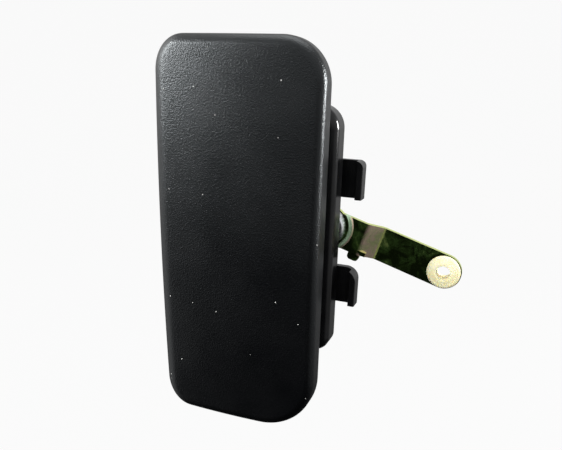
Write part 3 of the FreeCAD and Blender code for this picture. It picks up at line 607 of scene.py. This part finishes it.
# ---- geometry node trees
class NodeModifier:
    """A geometry node tree with named inputs, run once on an object and turned into a plain mesh."""

    def __init__(self, name: str, inputs: dict[str, tuple[str, object]]) -> None:
        """Makes the tree and its group sockets.

        Args:
            name: The tree's name.
            inputs: Socket type and value of each named input.
        """
        self.tree = bpy.data.node_groups.new(name, "GeometryNodeTree")
        self.graph = Graph(self.tree)
        face = self.tree.interface
        face.new_socket("Geometry", in_out="INPUT", socket_type="NodeSocketGeometry")
        self.values = {key: value for key, (_, value) in inputs.items()}
        self.sockets = {
            key: face.new_socket(key, in_out="INPUT", socket_type=kind).identifier
            for key, (kind, _) in inputs.items()
        }
        face.new_socket("Geometry", in_out="OUTPUT", socket_type="NodeSocketGeometry")
        self.source = self.tree.nodes.new("NodeGroupInput")

    def input(self, name: str) -> Socket:
        """Returns the socket that carries a named input."""
        return self.source.outputs[name]

    def end(self, geometry: Socket) -> None:
        """Ends the tree in Realize Instances and Set Material.

        Args:
            geometry: What the tree has made.
        """
        real = self.graph.add("GeometryNodeRealizeInstances", {"Geometry": geometry})
        dressed = self.graph.add(
            "GeometryNodeSetMaterial", {"Geometry": real.outputs[0], "Material": self.input("Finish")}
        )
        self.graph.add("NodeGroupOutput", {"Geometry": dressed.outputs[0]})

    def run(self, source: Object, name: str) -> Mesh:
        """Runs the tree on an object and removes the object.

        Args:
            source: The object whose geometry goes in.
            name: The new mesh's name.

        Returns:
            The result as a plain mesh.
        """
        modifier = source.modifiers.new(self.tree.name, "NODES")
        modifier.node_group = self.tree
        for key, identifier in self.sockets.items():
            modifier[identifier] = self.values[key]
        depsgraph = bpy.context.evaluated_depsgraph_get()
        made = bpy.data.meshes.new_from_object(source.evaluated_get(depsgraph))
        source.modifiers.remove(modifier)
        bpy.data.objects.remove(source)
        made.name = name
        return made


def plain_source(points: Sequence[Vector], name: str, as_path: bool = False) -> Object:
    """Makes a bare object of points that a node tree starts from.

    Args:
        points: The points, in place.
        name: The object's name.
        as_path: Whether edges join the points in order.

    Returns:
        The object.
    """
    mesh = bpy.data.meshes.new(name)
    edges = [(index, index + 1) for index in range(len(points) - 1)] if as_path else []
    mesh.from_pydata(points, edges, [])
    source = bpy.data.objects.new(name, mesh)
    bpy.context.collection.objects.link(source)
    return source


def wire_along(points: Sequence[Vector], radius: float, finish: Finishes, name: str) -> Mesh:
    """Draws round wire along a path.

    Args:
        points: The wire's middle line.
        radius: The wire's radius.
        finish: The wire's finish.
        name: The mesh's name.

    Returns:
        The wire as a closed mesh.
    """
    maker = NodeModifier("wire_along_path", {
        "Wire radius": ("NodeSocketFloat", radius),
        "Sides": ("NodeSocketInt", WIRE_SIDES),
        "Finish": ("NodeSocketMaterial", finish.value.material()),
    })
    graph = maker.graph
    path = graph.add("GeometryNodeMeshToCurve", {"Mesh": maker.input("Geometry")})
    section = graph.add("GeometryNodeCurvePrimitiveCircle", {
        "Resolution": maker.input("Sides"), "Radius": maker.input("Wire radius"),
    })
    wire = graph.add("GeometryNodeCurveToMesh", {
        "Curve": path.outputs[0], "Profile Curve": section.outputs[0], "Fill Caps": True,
    })
    maker.end(wire.outputs[0])
    return maker.run(plain_source(points, name + "_path", as_path=True), name)


# ---- paddle
class Side(Enum):
    """Sides of the paddle, each with the radius of its rolled edge."""

    PULL = 6.4 * MM
    HINGE = 3.0 * MM
    END = 4.0 * MM


@dataclass
class PaddleCover:
    """Grained outer cover: crowned face, edges rolled by different radii, open back."""

    left: Pair = (-34.7 * MM, -27.95 * MM)
    right: Pair = (30.6 * MM, 31.8 * MM)
    corners: tuple[float, float, float, float] = (16.0 * MM, 12.0 * MM, 11.5 * MM, 19.5 * MM)
    crown_across: float = 270.0 * MM
    crown_along: float = 1200.0 * MM
    wall: float = 2.6 * MM
    front_wall: float = 3.2 * MM
    rim_round: float = 0.5 * MM
    boss_bore: float = 1.4 * MM
    boss_radius: float = 3.4 * MM
    boss_length: float = 3.0 * MM
    boss_sides: int = 24
    spine_share: float = 0.62
    spine_knots: int = 13
    rim_steps: int = 4
    arc_steps: int = 20
    side_steps: int = 40
    roll_steps: int = 14
    face_rings: int = 12
    walk: list[tuple[Vector, Vector]] = field(default_factory=list)

    def outline(self) -> list[tuple[Vector, Vector]]:
        """Walks round the paddle's outline.

        Returns:
            Points in the rim plane with their outward normals.
        """
        low, high = packed_box("paddle_shell")
        points = [
            Vector((self.right[0], high.z)), Vector((self.left[0], high.z)),
            Vector((self.left[1], low.z)), Vector((self.right[1], low.z)),
        ]
        walk = []
        for index, (corner, radius) in enumerate(zip(points, self.corners)):
            before = (points[index - 1] - corner).normalized()
            after = (points[(index + 1) % 4] - corner).normalized()
            half = before.angle(after) / 2
            centre = corner + (before + after).normalized() * (radius / math.sin(half))
            start = math.atan2(*reversed(corner + before * (radius / math.tan(half)) - centre))
            sweep = math.pi - 2 * half
            for step in range(self.arc_steps + 1):
                angle = start + sweep * step / self.arc_steps
                normal = Vector((math.cos(angle), math.sin(angle)))
                walk.append((centre + normal * radius, normal))
        spaced = []
        per_arc = self.arc_steps + 1
        for arc in range(4):
            spaced += walk[arc * per_arc:(arc + 1) * per_arc]
            here, normal = walk[(arc + 1) * per_arc - 1]
            following = walk[(arc + 1) * per_arc % len(walk)][0]
            for step in range(1, self.side_steps):
                spaced.append((here.lerp(following, step / self.side_steps), normal))
        return spaced

    def crown(self, x: float, z: float) -> float:
        """Gives the depth of the crowned face at a place, before its edges are rolled."""
        low, _ = packed_box("paddle_shell")
        return low.y + x * x / (2 * self.crown_across) + z * z / (2 * self.crown_along)

    def ring(
        self, depth: Callable[[float, float, Vector], float], inset: Callable[[Vector], float]
    ) -> list[Vector]:
        """Makes one closed ring of the cover.

        Args:
            depth: Gives y from x, z and the normal.
            inset: Gives the distance inwards from the outline, from the normal.

        Returns:
            The ring's points.
        """
        ring = []
        for place, normal in self.walk:
            inner = place - normal * inset(normal)
            ring.append(Vector((inner.x, depth(inner.x, inner.y, normal), inner.y)))
        return ring

    def roll(self, normal: Vector) -> float:
        """Gives the radius of the rolled edge.

        Args:
            normal: The way that the outline faces.

        Returns:
            The radius.
        """
        side = Side.HINGE if normal.x > 0 else Side.PULL
        share = normal.x**2
        return share * side.value + (1 - share) * Side.END.value

    def filled(self, ring: Sequence[Vector], lift: float) -> list[list[Vector]]:
        """Closes a ring towards a short spine along its middle.

        The spine's ends keep to evenly spaced knots, so that both sides meet there without a gap.

        Args:
            ring: The ring to close.
            lift: Distance of the closing face behind the crowned face.

        Returns:
            The further rings.
        """
        reach = self.spine_share * max(point.z for point in ring)
        knot = reach / self.spine_knots
        closing = []
        for step in range(1, self.face_rings + 1):
            share = 1 - step / self.face_rings
            loop = []
            for point in ring:
                spine_z = round(max(-reach, min(reach, point.z)) / knot) * knot
                x, z = point.x * share, spine_z + (point.z - spine_z) * share
                loop.append(Vector((x, self.crown(x, z) + lift, z)))
            closing.append(loop)
        return closing

    def mesh(self) -> Mesh:
        """Builds the cover with its cavity and its four screw bosses.

        Returns:
            The mesh.
        """
        _, high = packed_box("paddle_shell")
        rim = high.y
        self.walk = self.outline()
        rings = []
        for step in range(self.rim_steps + 1):
            angle = math.pi / 2 * step / self.rim_steps
            back = rim - self.rim_round * (1 - math.cos(angle))
            inwards = self.rim_round * (1 - math.sin(angle))
            rings.append(self.ring(lambda x, z, n, y=back: y, lambda n, d=inwards: d))
        lip = rim - self.rim_round
        for step in range(self.roll_steps + 1):
            angle = math.pi / 2 * step / self.roll_steps
            rings.append(self.ring(
                lambda x, z, n, a=angle: min(self.crown(x, z) + self.roll(n) * (1 - math.sin(a)), lip),
                lambda n, a=angle: self.roll(n) * (1 - math.cos(a)),
            ))
        outer = rings + self.filled(rings[-1], 0.0)
        mouth = [self.ring(lambda x, z, n: rim, lambda n: self.wall)]
        roof = self.ring(lambda x, z, n: self.crown(x, z) + self.front_wall, lambda n: self.wall)
        inner = mouth + [roof] + self.filled(roof, self.front_wall)
        body = stack_rings(list(reversed(inner)) + outer, "paddle_cover")
        plate, _ = packed_box("paddle_carrier")
        profile = [
            (self.boss_bore, 0.0), (self.boss_radius, 0.0),
            (self.boss_radius, -self.boss_length), (self.boss_bore, -self.boss_length),
        ]
        bosses = [
            turned_mesh(profile, Vector((x, plate.y, z)), "boss", self.boss_sides) for x, z in screw_places()
        ]
        return joined_mesh([body] + bosses, "paddle_cover")

    def build(self) -> Object:
        """Puts the cover on the paddle's body.

        Returns:
            The cover.
        """
        cover = finished_object("paddle_cover", self.mesh(), Finishes.COVER)
        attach(cover, "paddle")
        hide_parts("paddle_shell")
        return cover


def screw_places() -> list[Pair]:
    """Gives the places of the four carrier screws.

    Returns:
        Pairs of x and z.
    """
    low, high = packed_box("carrier_screws")
    heights = (high.z - SCREW_HEAD, low.z + SCREW_HEAD)
    return [(x, z) for z in heights for x in (high.x - SCREW_HEAD, low.x + SCREW_HEAD)]


@dataclass
class CarrierScrews:
    """Four pan-head screws with a cross recess."""

    head: float = SCREW_HEAD
    head_rim: float = 0.35 * MM
    dome: float = 1.6 * MM
    dome_reach: float = 1.06
    dome_start: float = 0.985
    shank: float = 1.4 * MM
    length: float = 4.0 * MM
    point: float = 1.0 * MM
    point_share: float = 0.6
    slot_half: float = 0.36 * MM
    slot_reach: float = 1.7 * MM
    slot_depth: float = 1.0 * MM
    slot_wall: float = 0.1 * MM
    slot_run_out: float = 0.5 * MM
    sides: int = 72
    layers: int = 24

    def height(self, x: float, z: float) -> float:
        """Gives the height of the head's top above its seat, with the cross cut into it.

        Args:
            x: Place across the head.
            z: The other place across it.

        Returns:
            The height.
        """
        reach = math.hypot(x, z)
        dome = self.dome * math.sqrt(max(0.0, 1 - (reach / (self.head * self.dome_reach)) ** 2))
        near, far = sorted((abs(x), abs(z)))
        inside = min(1.0, max(0.0, (self.slot_half - near) / self.slot_wall + 0.5))
        ends = min(1.0, max(0.0, (self.slot_reach - far) / self.slot_run_out))
        return dome - self.slot_depth * inside * ends

    def mesh(self) -> Mesh:
        """Builds one screw with its head towards +Y, seated at the origin.

        Returns:
            The mesh.
        """
        profile = (
            (self.shank * self.point_share, -self.length), (self.shank, self.point - self.length),
            (self.shank, 0.0), (self.head, 0.0), (self.head, self.head_rim),
        )
        rings = [[Vector((0.0, -self.length, 0.0))] * self.sides]
        rings += [self.circle(radius, along) for radius, along in profile]
        for layer in range(self.layers, -1, -1):
            rings.append(self.circle(self.head * self.dome_start * layer / self.layers))
        return stack_rings(rings, "carrier_screw")

    def circle(self, radius: float, along: float | None = None) -> list[Vector]:
        """Makes one ring of the screw.

        Args:
            radius: The ring's radius.
            along: Its place along the axis; without one it lies on the head's top.

        Returns:
            The ring's points.
        """
        ring = []
        for step in range(self.sides):
            angle = 2 * math.pi * step / self.sides
            x, z = radius * math.cos(angle), radius * math.sin(angle)
            ring.append(Vector((x, self.height(x, z) if along is None else along, z)))
        return ring

    def build(self) -> Object:
        """Sets the four screws by a node tree that turns each by its own angle.

        Returns:
            The screws.
        """
        single = bpy.data.objects.new("screw_pattern", self.mesh())
        bpy.context.collection.objects.link(single)
        maker = NodeModifier("screws_on_points", {
            "Screw": ("NodeSocketObject", single),
            "Seed": ("NodeSocketInt", 7),
            "Finish": ("NodeSocketMaterial", Finishes.ZINC.value.material()),
        })
        graph = maker.graph
        shape = graph.add("GeometryNodeObjectInfo", {"Object": maker.input("Screw")})
        turn = graph.add("FunctionNodeRandomValue", {
            "0": (0.0, 0.0, 0.0), "1": (0.0, math.pi, 0.0), "Seed": maker.input("Seed"),
        }, data_type="FLOAT_VECTOR")
        placed = graph.add("GeometryNodeInstanceOnPoints", {
            "Points": maker.input("Geometry"), "Instance": shape.outputs["Geometry"],
            "Rotation": turn.outputs[0],
        })
        maker.end(placed.outputs[0])
        _, plate = packed_box("carrier_screws")
        seat = plate.y - self.dome
        points = [Vector((x, seat, z)) for x, z in screw_places()]
        mesh = maker.run(plain_source(points, "screw_points"), "carrier_screw_set")
        bpy.data.objects.remove(single)
        screws = finished_object("carrier_screw_set", mesh, Finishes.ZINC)
        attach(screws, "paddle")
        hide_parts("carrier_screws")
        return screws


# ---- springs
@dataclass
class HingeSpring:
    """Torsion spring round the hinge pin that shuts the paddle."""

    turns: int = 9
    steps_per_turn: int = 40
    wire: float = 0.6 * MM
    margin: float = 0.65 * MM
    mean_radius: float = 3.7 * MM

    def path(self) -> list[Vector]:
        """Middle line of the wire, from the leg on the base to the leg on the carrier.

        Returns:
            The points in order.
        """
        low, high = packed_box("paddle_spring")
        axis = Vector((high.x - self.mean_radius - self.margin, joint_place("paddle_hinge").y))
        bottom, top = low.z + self.margin, high.z - self.margin
        side = axis.x - self.mean_radius
        points = [Vector((side, high.y, bottom))]
        count = self.turns * self.steps_per_turn
        for step in range(count + 1):
            angle = math.pi + 2 * math.pi * step / self.steps_per_turn
            height = bottom + (top - bottom) * step / count
            across = self.mean_radius * math.cos(angle)
            points.append(Vector((axis.x + across, axis.y + self.mean_radius * math.sin(angle), height)))
        points.append(Vector((side, low.y, top)))
        return points

    def build(self) -> Object:
        """Winds the spring.

        Returns:
            The spring.
        """
        points = self.path()
        mesh = wire_along(points, self.wire, Finishes.SPRING, "hinge_spring_coil")
        spring = finished_object("hinge_spring_coil", mesh, Finishes.SPRING, WIRE_SHARP_ANGLE)
        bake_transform(spring)
        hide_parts("paddle_spring")
        return spring


@dataclass
class CrankSpring:
    """Torsion spring in the cup that turns the bell crank back."""

    turns: float = 2.15
    steps_per_turn: int = 48
    wire: float = 0.5 * MM
    mean_radius: float = 5.5 * MM
    cup_floor: float = 1.9 * MM
    pitch: float = 1.03 * MM
    leg_angle: float = 122.6
    leg_reach: float = 15.05 * MM
    edge: float = 4.6 * MM
    bend: float = 0.8 * MM
    bend_middle: float = 0.3
    hook_end: float = 9.2 * MM

    def path(self) -> list[Vector]:
        """Middle line of the wire, from its end in the cup to the hook on the input arm.

        Returns:
            The points in order.
        """
        centre = joint_place("crank_pivot")
        turn = Matrix.Rotation(-math.radians(self.leg_angle), 3, "Y")
        corner = turn @ Vector((self.leg_reach, 0.0, self.edge))
        bearing = math.atan2(corner.z, corner.x)
        leave = bearing + math.acos(self.mean_radius / corner.length)
        first = self.cup_floor + self.wire
        count = int(self.turns * self.steps_per_turn)
        points = []
        for step in range(count + 1):
            angle = leave + 2 * math.pi * (count - step) / self.steps_per_turn
            along = first + self.pitch * step / self.steps_per_turn
            across = self.mean_radius * math.cos(angle)
            points.append(Vector((centre.x + across, along, centre.z + self.mean_radius * math.sin(angle))))
        foot = Vector((centre.x + corner.x, points[-1].y, centre.z + corner.z))
        inwards = (points[-1] - foot).normalized() * self.bend
        outwards = Vector((0.0, self.bend, 0.0))
        points += [foot + inwards, foot + inwards * self.bend_middle + outwards * self.bend_middle]
        points += [foot + outwards, Vector((foot.x, self.hook_end, foot.z))]
        return points

    def build(self) -> Object:
        """Winds the spring.

        Returns:
            The spring.
        """
        points = self.path()
        mesh = wire_along(points, self.wire, Finishes.SPRING, "crank_spring_coil")
        spring = finished_object("crank_spring_coil", mesh, Finishes.SPRING, WIRE_SHARP_ANGLE)
        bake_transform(spring)
        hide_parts("crank_spring")
        return spring


# ---- fixings
@dataclass
class ThreadedStuds:
    """Two threaded studs in the base."""

    radius: float = 3.0 * MM
    pitch: float = 1.0 * MM
    thread_depth: float = 0.55 * MM
    chamfer: float = 0.8 * MM
    collar_chamfer: float = 0.25 * MM
    buried: float = 0.5 * MM
    sides: int = 48
    layers: int = 180

    def rods(self, middles: Sequence[Vector], length: float) -> Mesh:
        """Cuts the thread with a node tree and sets a rod on each point.

        Args:
            middles: The rods' middles.
            length: Their length.

        Returns:
            The rods as one mesh.
        """
        maker = NodeModifier("threaded_rod_on_points", {
            "Radius": ("NodeSocketFloat", self.radius),
            "Length": ("NodeSocketFloat", length),
            "Pitch": ("NodeSocketFloat", self.pitch),
            "Thread depth": ("NodeSocketFloat", self.thread_depth),
            "Chamfer": ("NodeSocketFloat", self.chamfer),
            "Finish": ("NodeSocketMaterial", Finishes.ZINC.value.material()),
        })
        graph, calc = maker.graph, maker.graph.math
        rod = graph.add("GeometryNodeMeshCylinder", {
            "Vertices": self.sides, "Side Segments": self.layers,
            "Radius": maker.input("Radius"), "Depth": maker.input("Length"),
        })
        place = graph.add("GeometryNodeInputPosition").outputs[0]
        x, y, z = graph.add("ShaderNodeSeparateXYZ", {"Vector": place}).outputs
        lap = calc("DIVIDE", calc("ARCTAN2", y, x), 2 * math.pi)
        phase = calc("FRACT", calc("SUBTRACT", calc("DIVIDE", z, maker.input("Pitch")), lap))
        groove = calc("SUBTRACT", 1.0, calc("ABSOLUTE", calc("MULTIPLY_ADD", phase, 2.0, -1.0)))
        cut = calc("MULTIPLY", groove, maker.input("Thread depth"))
        tip = calc("SUBTRACT", calc("ABSOLUTE", z), calc("MULTIPLY", maker.input("Length"), 0.5))
        bevel = calc("MAXIMUM", calc("ADD", tip, maker.input("Chamfer")), 0.0)
        shrink = calc("SUBTRACT", 1.0, calc("DIVIDE", calc("MAXIMUM", cut, bevel), maker.input("Radius")))
        moved = graph.add("ShaderNodeCombineXYZ", {
            "X": calc("MULTIPLY", x, shrink), "Y": calc("MULTIPLY", y, shrink), "Z": z,
        })
        threaded = graph.add("GeometryNodeSetPosition", {
            "Geometry": rod.outputs["Mesh"], "Position": moved.outputs[0],
        })
        placed = graph.add("GeometryNodeInstanceOnPoints", {
            "Points": maker.input("Geometry"), "Instance": threaded.outputs[0],
            "Rotation": (math.pi / 2, 0.0, 0.0),
        })
        maker.end(placed.outputs[0])
        return maker.run(plain_source(middles, "stud_points"), "stud_rods")

    def build(self) -> Object:
        """Sets both studs, each with the collar that holds it in the base.

        Returns:
            The studs.
        """
        low, high = packed_box("mounting_studs")
        collar, length, rim = high.x, high.y + self.buried, self.collar_chamfer
        heights = (high.z - collar, low.z + collar)
        rods = self.rods([Vector((0.0, high.y - length / 2, height)) for height in heights], length)
        profile = [(0.0, low.y), (collar, low.y), (collar, -rim), (collar - rim, 0.0), (0.0, 0.0)]
        collars = [turned_mesh(profile, Vector((0.0, 0.0, height)), "stud_collar") for height in heights]
        mesh = joined_mesh([rods] + collars, "threaded_studs")
        studs = finished_object("threaded_studs", mesh, Finishes.ZINC)
        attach(studs, "base")
        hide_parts("mounting_studs")
        return studs


# ---- carried-over pieces
class CarriedOver:
    """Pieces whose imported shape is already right, and only get their finish."""

    finishes: dict[str, Finishes] = {
        "base_body": Finishes.BASE,
        "base_gasket": Finishes.FOAM,
        "stud_seals": Finishes.FOAM,
        "stop_bumpers": Finishes.RUBBER,
        "paddle_carrier": Finishes.CARRIER,
        "cam_shoe": Finishes.NYLON,
        "hinge_bushes": Finishes.NYLON,
        "hinge_pin": Finishes.ZINC,
        "hinge_pin_clip": Finishes.SPRING,
        "bell_crank": Finishes.CHROMATE,
        "pivot_rivet": Finishes.ZINC,
        "spring_cup": Finishes.ZINC,
        "pivot_bush": Finishes.NYLON,
        "pivot_washer": Finishes.ZINC,
        "rod_bush": Finishes.NYLON,
    }

    def dress(self) -> None:
        """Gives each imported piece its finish."""
        for name, finish in self.finishes.items():
            slots = frame["nodes"][name].data.materials
            slots.clear()
            slots.append(finish.value.material())
            LOG.info("dressed %s with %s", name, finish.value.name)


# ---- studio
@dataclass(frozen=True)
class Softbox:
    """A plain area light aimed at a point; its size is its width and height."""

    name: str
    place: tuple[float, float, float]
    aim: tuple[float, float, float]
    size: Pair
    power: float
    shows: bool = True  # whether reflections show it

    def build(self) -> None:
        """Adds the light."""
        data = bpy.data.lights.new(self.name, "AREA")
        data.shape = "RECTANGLE"
        data.size, data.size_y = self.size
        data.energy = self.power
        lamp = bpy.data.objects.new(self.name, data)
        lamp.visible_camera = False
        lamp.visible_glossy = self.shows
        lamp.location = self.place
        direction = Vector(self.aim) - Vector(self.place)
        lamp.rotation_euler = direction.to_track_quat("-Z", "Y").to_euler()
        bpy.context.collection.objects.link(lamp)


def grey_stops(levels: Levels) -> list[tuple[float, Colour]]:
    """Turns pairs of place and brightness into a ramp's stops."""
    return [(place, (level,) * 3) for place, level in levels]


@dataclass(frozen=True)
class Wall:
    """One side of the surroundings: brightness by height, faded in along one axis."""

    axis: str
    start: float
    full: float
    levels: Levels


@dataclass
class Studio:
    """Pale sweep, soft light and the camera."""

    camera_place: tuple[float, float, float] = (86.947 * MM, -215.066 * MM, 53.712 * MM)
    yaw: float = 20.0
    pitch: float = 13.0
    roll: float = 2.3
    lens: float = 39.14
    floor_drop: float = 0.09
    sweep_back: float = 1.1
    sweep_round: float = 0.5
    sweep_half_width: float = 2.2
    sweep_height: float = 1.8
    sweep_front: float = -0.12
    sweep_steps: int = 24
    paper: Colour = (0.01, 0.01, 0.01)
    paper_glow: float = 0.94
    pale: Colour = (0.945, 0.945, 0.945)
    front_levels: Levels = ((0.0, 0.001), (0.36, 0.002), (0.43, 0.02), (0.5, 0.28), (0.58, 0.7), (1.0, 0.9))
    walls: tuple[Wall, ...] = (
        Wall("X", 0.72, 0.95, ((0.0, 0.02), (0.25, 0.15), (0.38, 0.4), (0.5, 0.5), (0.6, 0.7), (1.0, 0.8))),
        Wall(
            "X", -0.57, -0.78, ((0.0, 0.15), (0.25, 0.65), (0.42, 0.75), (0.5, 1.4), (0.58, 3.0), (1.0, 3.0)),
        ),
        Wall("Y", -0.1, 0.6, ((0.0, 0.02), (0.25, 0.06), (0.42, 0.28), (0.5, 0.5), (1.0, 0.6))),
    )
    lamps: tuple[Softbox, ...] = (
        Softbox("right_softbox", (0.56, 0.28, 0.15), (0.03, -0.02, 0.04), (0.09, 0.22), 6.5),
        Softbox("left_softbox", (-0.62, -0.42, 0.27), (-0.03, -0.02, 0.05), (0.36, 0.26), 6.5),
        Softbox("top_softbox", (0.0, 0.1, 0.8), (0.0, 0.0, 0.0), (0.6, 0.6), 3.0),
        Softbox("fill_softbox", (0.2, -0.6, 0.2), (0.06, 0.0, -0.01), (0.5, 0.5), 3.6, shows=False),
    )

    def add_camera(self) -> None:
        """Adds the camera at its viewing angle."""
        yaw, pitch, roll = (math.radians(angle) for angle in (self.yaw, self.pitch, self.roll))
        ahead = Vector((-math.sin(yaw) * math.cos(pitch), math.cos(yaw) * math.cos(pitch), -math.sin(pitch)))
        right = Vector((math.cos(yaw), math.sin(yaw), 0.0))
        up = right.cross(ahead)
        level_right = right * math.cos(roll) + up * math.sin(roll)
        level_up = up * math.cos(roll) - right * math.sin(roll)
        data = bpy.data.cameras.new("camera")
        data.lens, data.sensor_width = self.lens, 36.0
        data.clip_start, data.clip_end = 0.01, 20.0
        camera = bpy.data.objects.new("camera", data)
        turn = Matrix((level_right, level_up, -ahead)).transposed().to_4x4()
        camera.matrix_world = Matrix.Translation(self.camera_place) @ turn
        bpy.context.collection.objects.link(camera)
        bpy.context.scene.camera = camera

    def add_sweep(self) -> None:
        """Adds a pale floor that curves up into a backdrop."""
        low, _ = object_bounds()
        floor = low.z - self.floor_drop
        bend = self.sweep_back - self.sweep_round
        profile = [(self.sweep_front, floor), (bend, floor)]
        for step in range(1, self.sweep_steps + 1):
            angle = math.pi / 2 * step / self.sweep_steps
            rise = self.sweep_round * (1 - math.cos(angle))
            profile.append((bend + self.sweep_round * math.sin(angle), floor + rise))
        profile.append((self.sweep_back, floor + self.sweep_height))
        points = [(side * self.sweep_half_width, y, z) for y, z in profile for side in (-1, 1)]
        faces = [(2 * i, 2 * i + 1, 2 * i + 3, 2 * i + 2) for i in range(len(profile) - 1)]
        mesh = bpy.data.meshes.new("sweep")
        mesh.from_pydata(points, [], faces)
        mesh.polygons.foreach_set("use_smooth", [True] * len(faces))
        paper = bpy.data.materials.new("sweep_paper")
        paper.use_nodes = True
        paper.node_tree.nodes.clear()
        graph = Graph(paper.node_tree)
        shader = graph.add("ShaderNodeBsdfPrincipled", {
            "Base Color": (*self.paper, 1.0), "Roughness": 1.0, "Specular IOR Level": 0.0,
            "Emission Color": (1.0, 1.0, 1.0, 1.0), "Emission Strength": self.paper_glow,
        })
        graph.add("ShaderNodeOutputMaterial", {"Surface": shader.outputs[0]})
        mesh.materials.append(paper)
        sweep = bpy.data.objects.new("sweep", mesh)
        sweep.visible_glossy = False
        sweep.visible_diffuse = False
        bpy.context.collection.objects.link(sweep)
        sweep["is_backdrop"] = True

    def add_world(self) -> None:
        """Adds surroundings that are bright above and dark low down in front, but look pale to the camera."""
        world = bpy.data.worlds.new("studio")
        bpy.context.scene.world = world
        world.use_nodes = True
        world.node_tree.nodes.clear()
        graph = Graph(world.node_tree)
        direction = graph.add("ShaderNodeTexCoord").outputs["Generated"]
        axes = graph.add("ShaderNodeSeparateXYZ", {"Vector": direction}).outputs
        height = graph.share(axes["Z"], -1.0, 1.0)
        room = graph.ramp(height, grey_stops(self.front_levels))
        for wall in self.walls:
            share = graph.share(axes[wall.axis], wall.start, wall.full, interpolation_type="SMOOTHSTEP")
            room = graph.blend(share, room, graph.ramp(height, grey_stops(wall.levels)))
        seen = graph.add("ShaderNodeLightPath").outputs["Is Camera Ray"]
        colour = graph.blend(seen, room, self.pale)
        backdrop = graph.add("ShaderNodeBackground", {"Color": colour, "Strength": 1.0})
        graph.add("ShaderNodeOutputWorld", {"Surface": backdrop.outputs[0]})

    def build(self) -> None:
        """Adds everything round the handle."""
        self.add_camera()
        self.add_sweep()
        self.add_world()
        for lamp in self.lamps:
            lamp.build()
        bpy.context.scene.view_settings.view_transform = "Standard"


def main() -> None:
    """Builds the handle's looks piece by piece."""
    logging.basicConfig(level=logging.INFO, format="%(name)s: %(message)s")
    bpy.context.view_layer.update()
    Studio().build()
    for maker in (PaddleCover(), CarrierScrews(), HingeSpring(), CrankSpring(), ThreadedStuds()):
        piece = maker.build()
        LOG.info("built %s with %d faces", piece.name, len(piece.data.polygons))
    CarriedOver().dress()


if __name__ == "__main__":
    main()
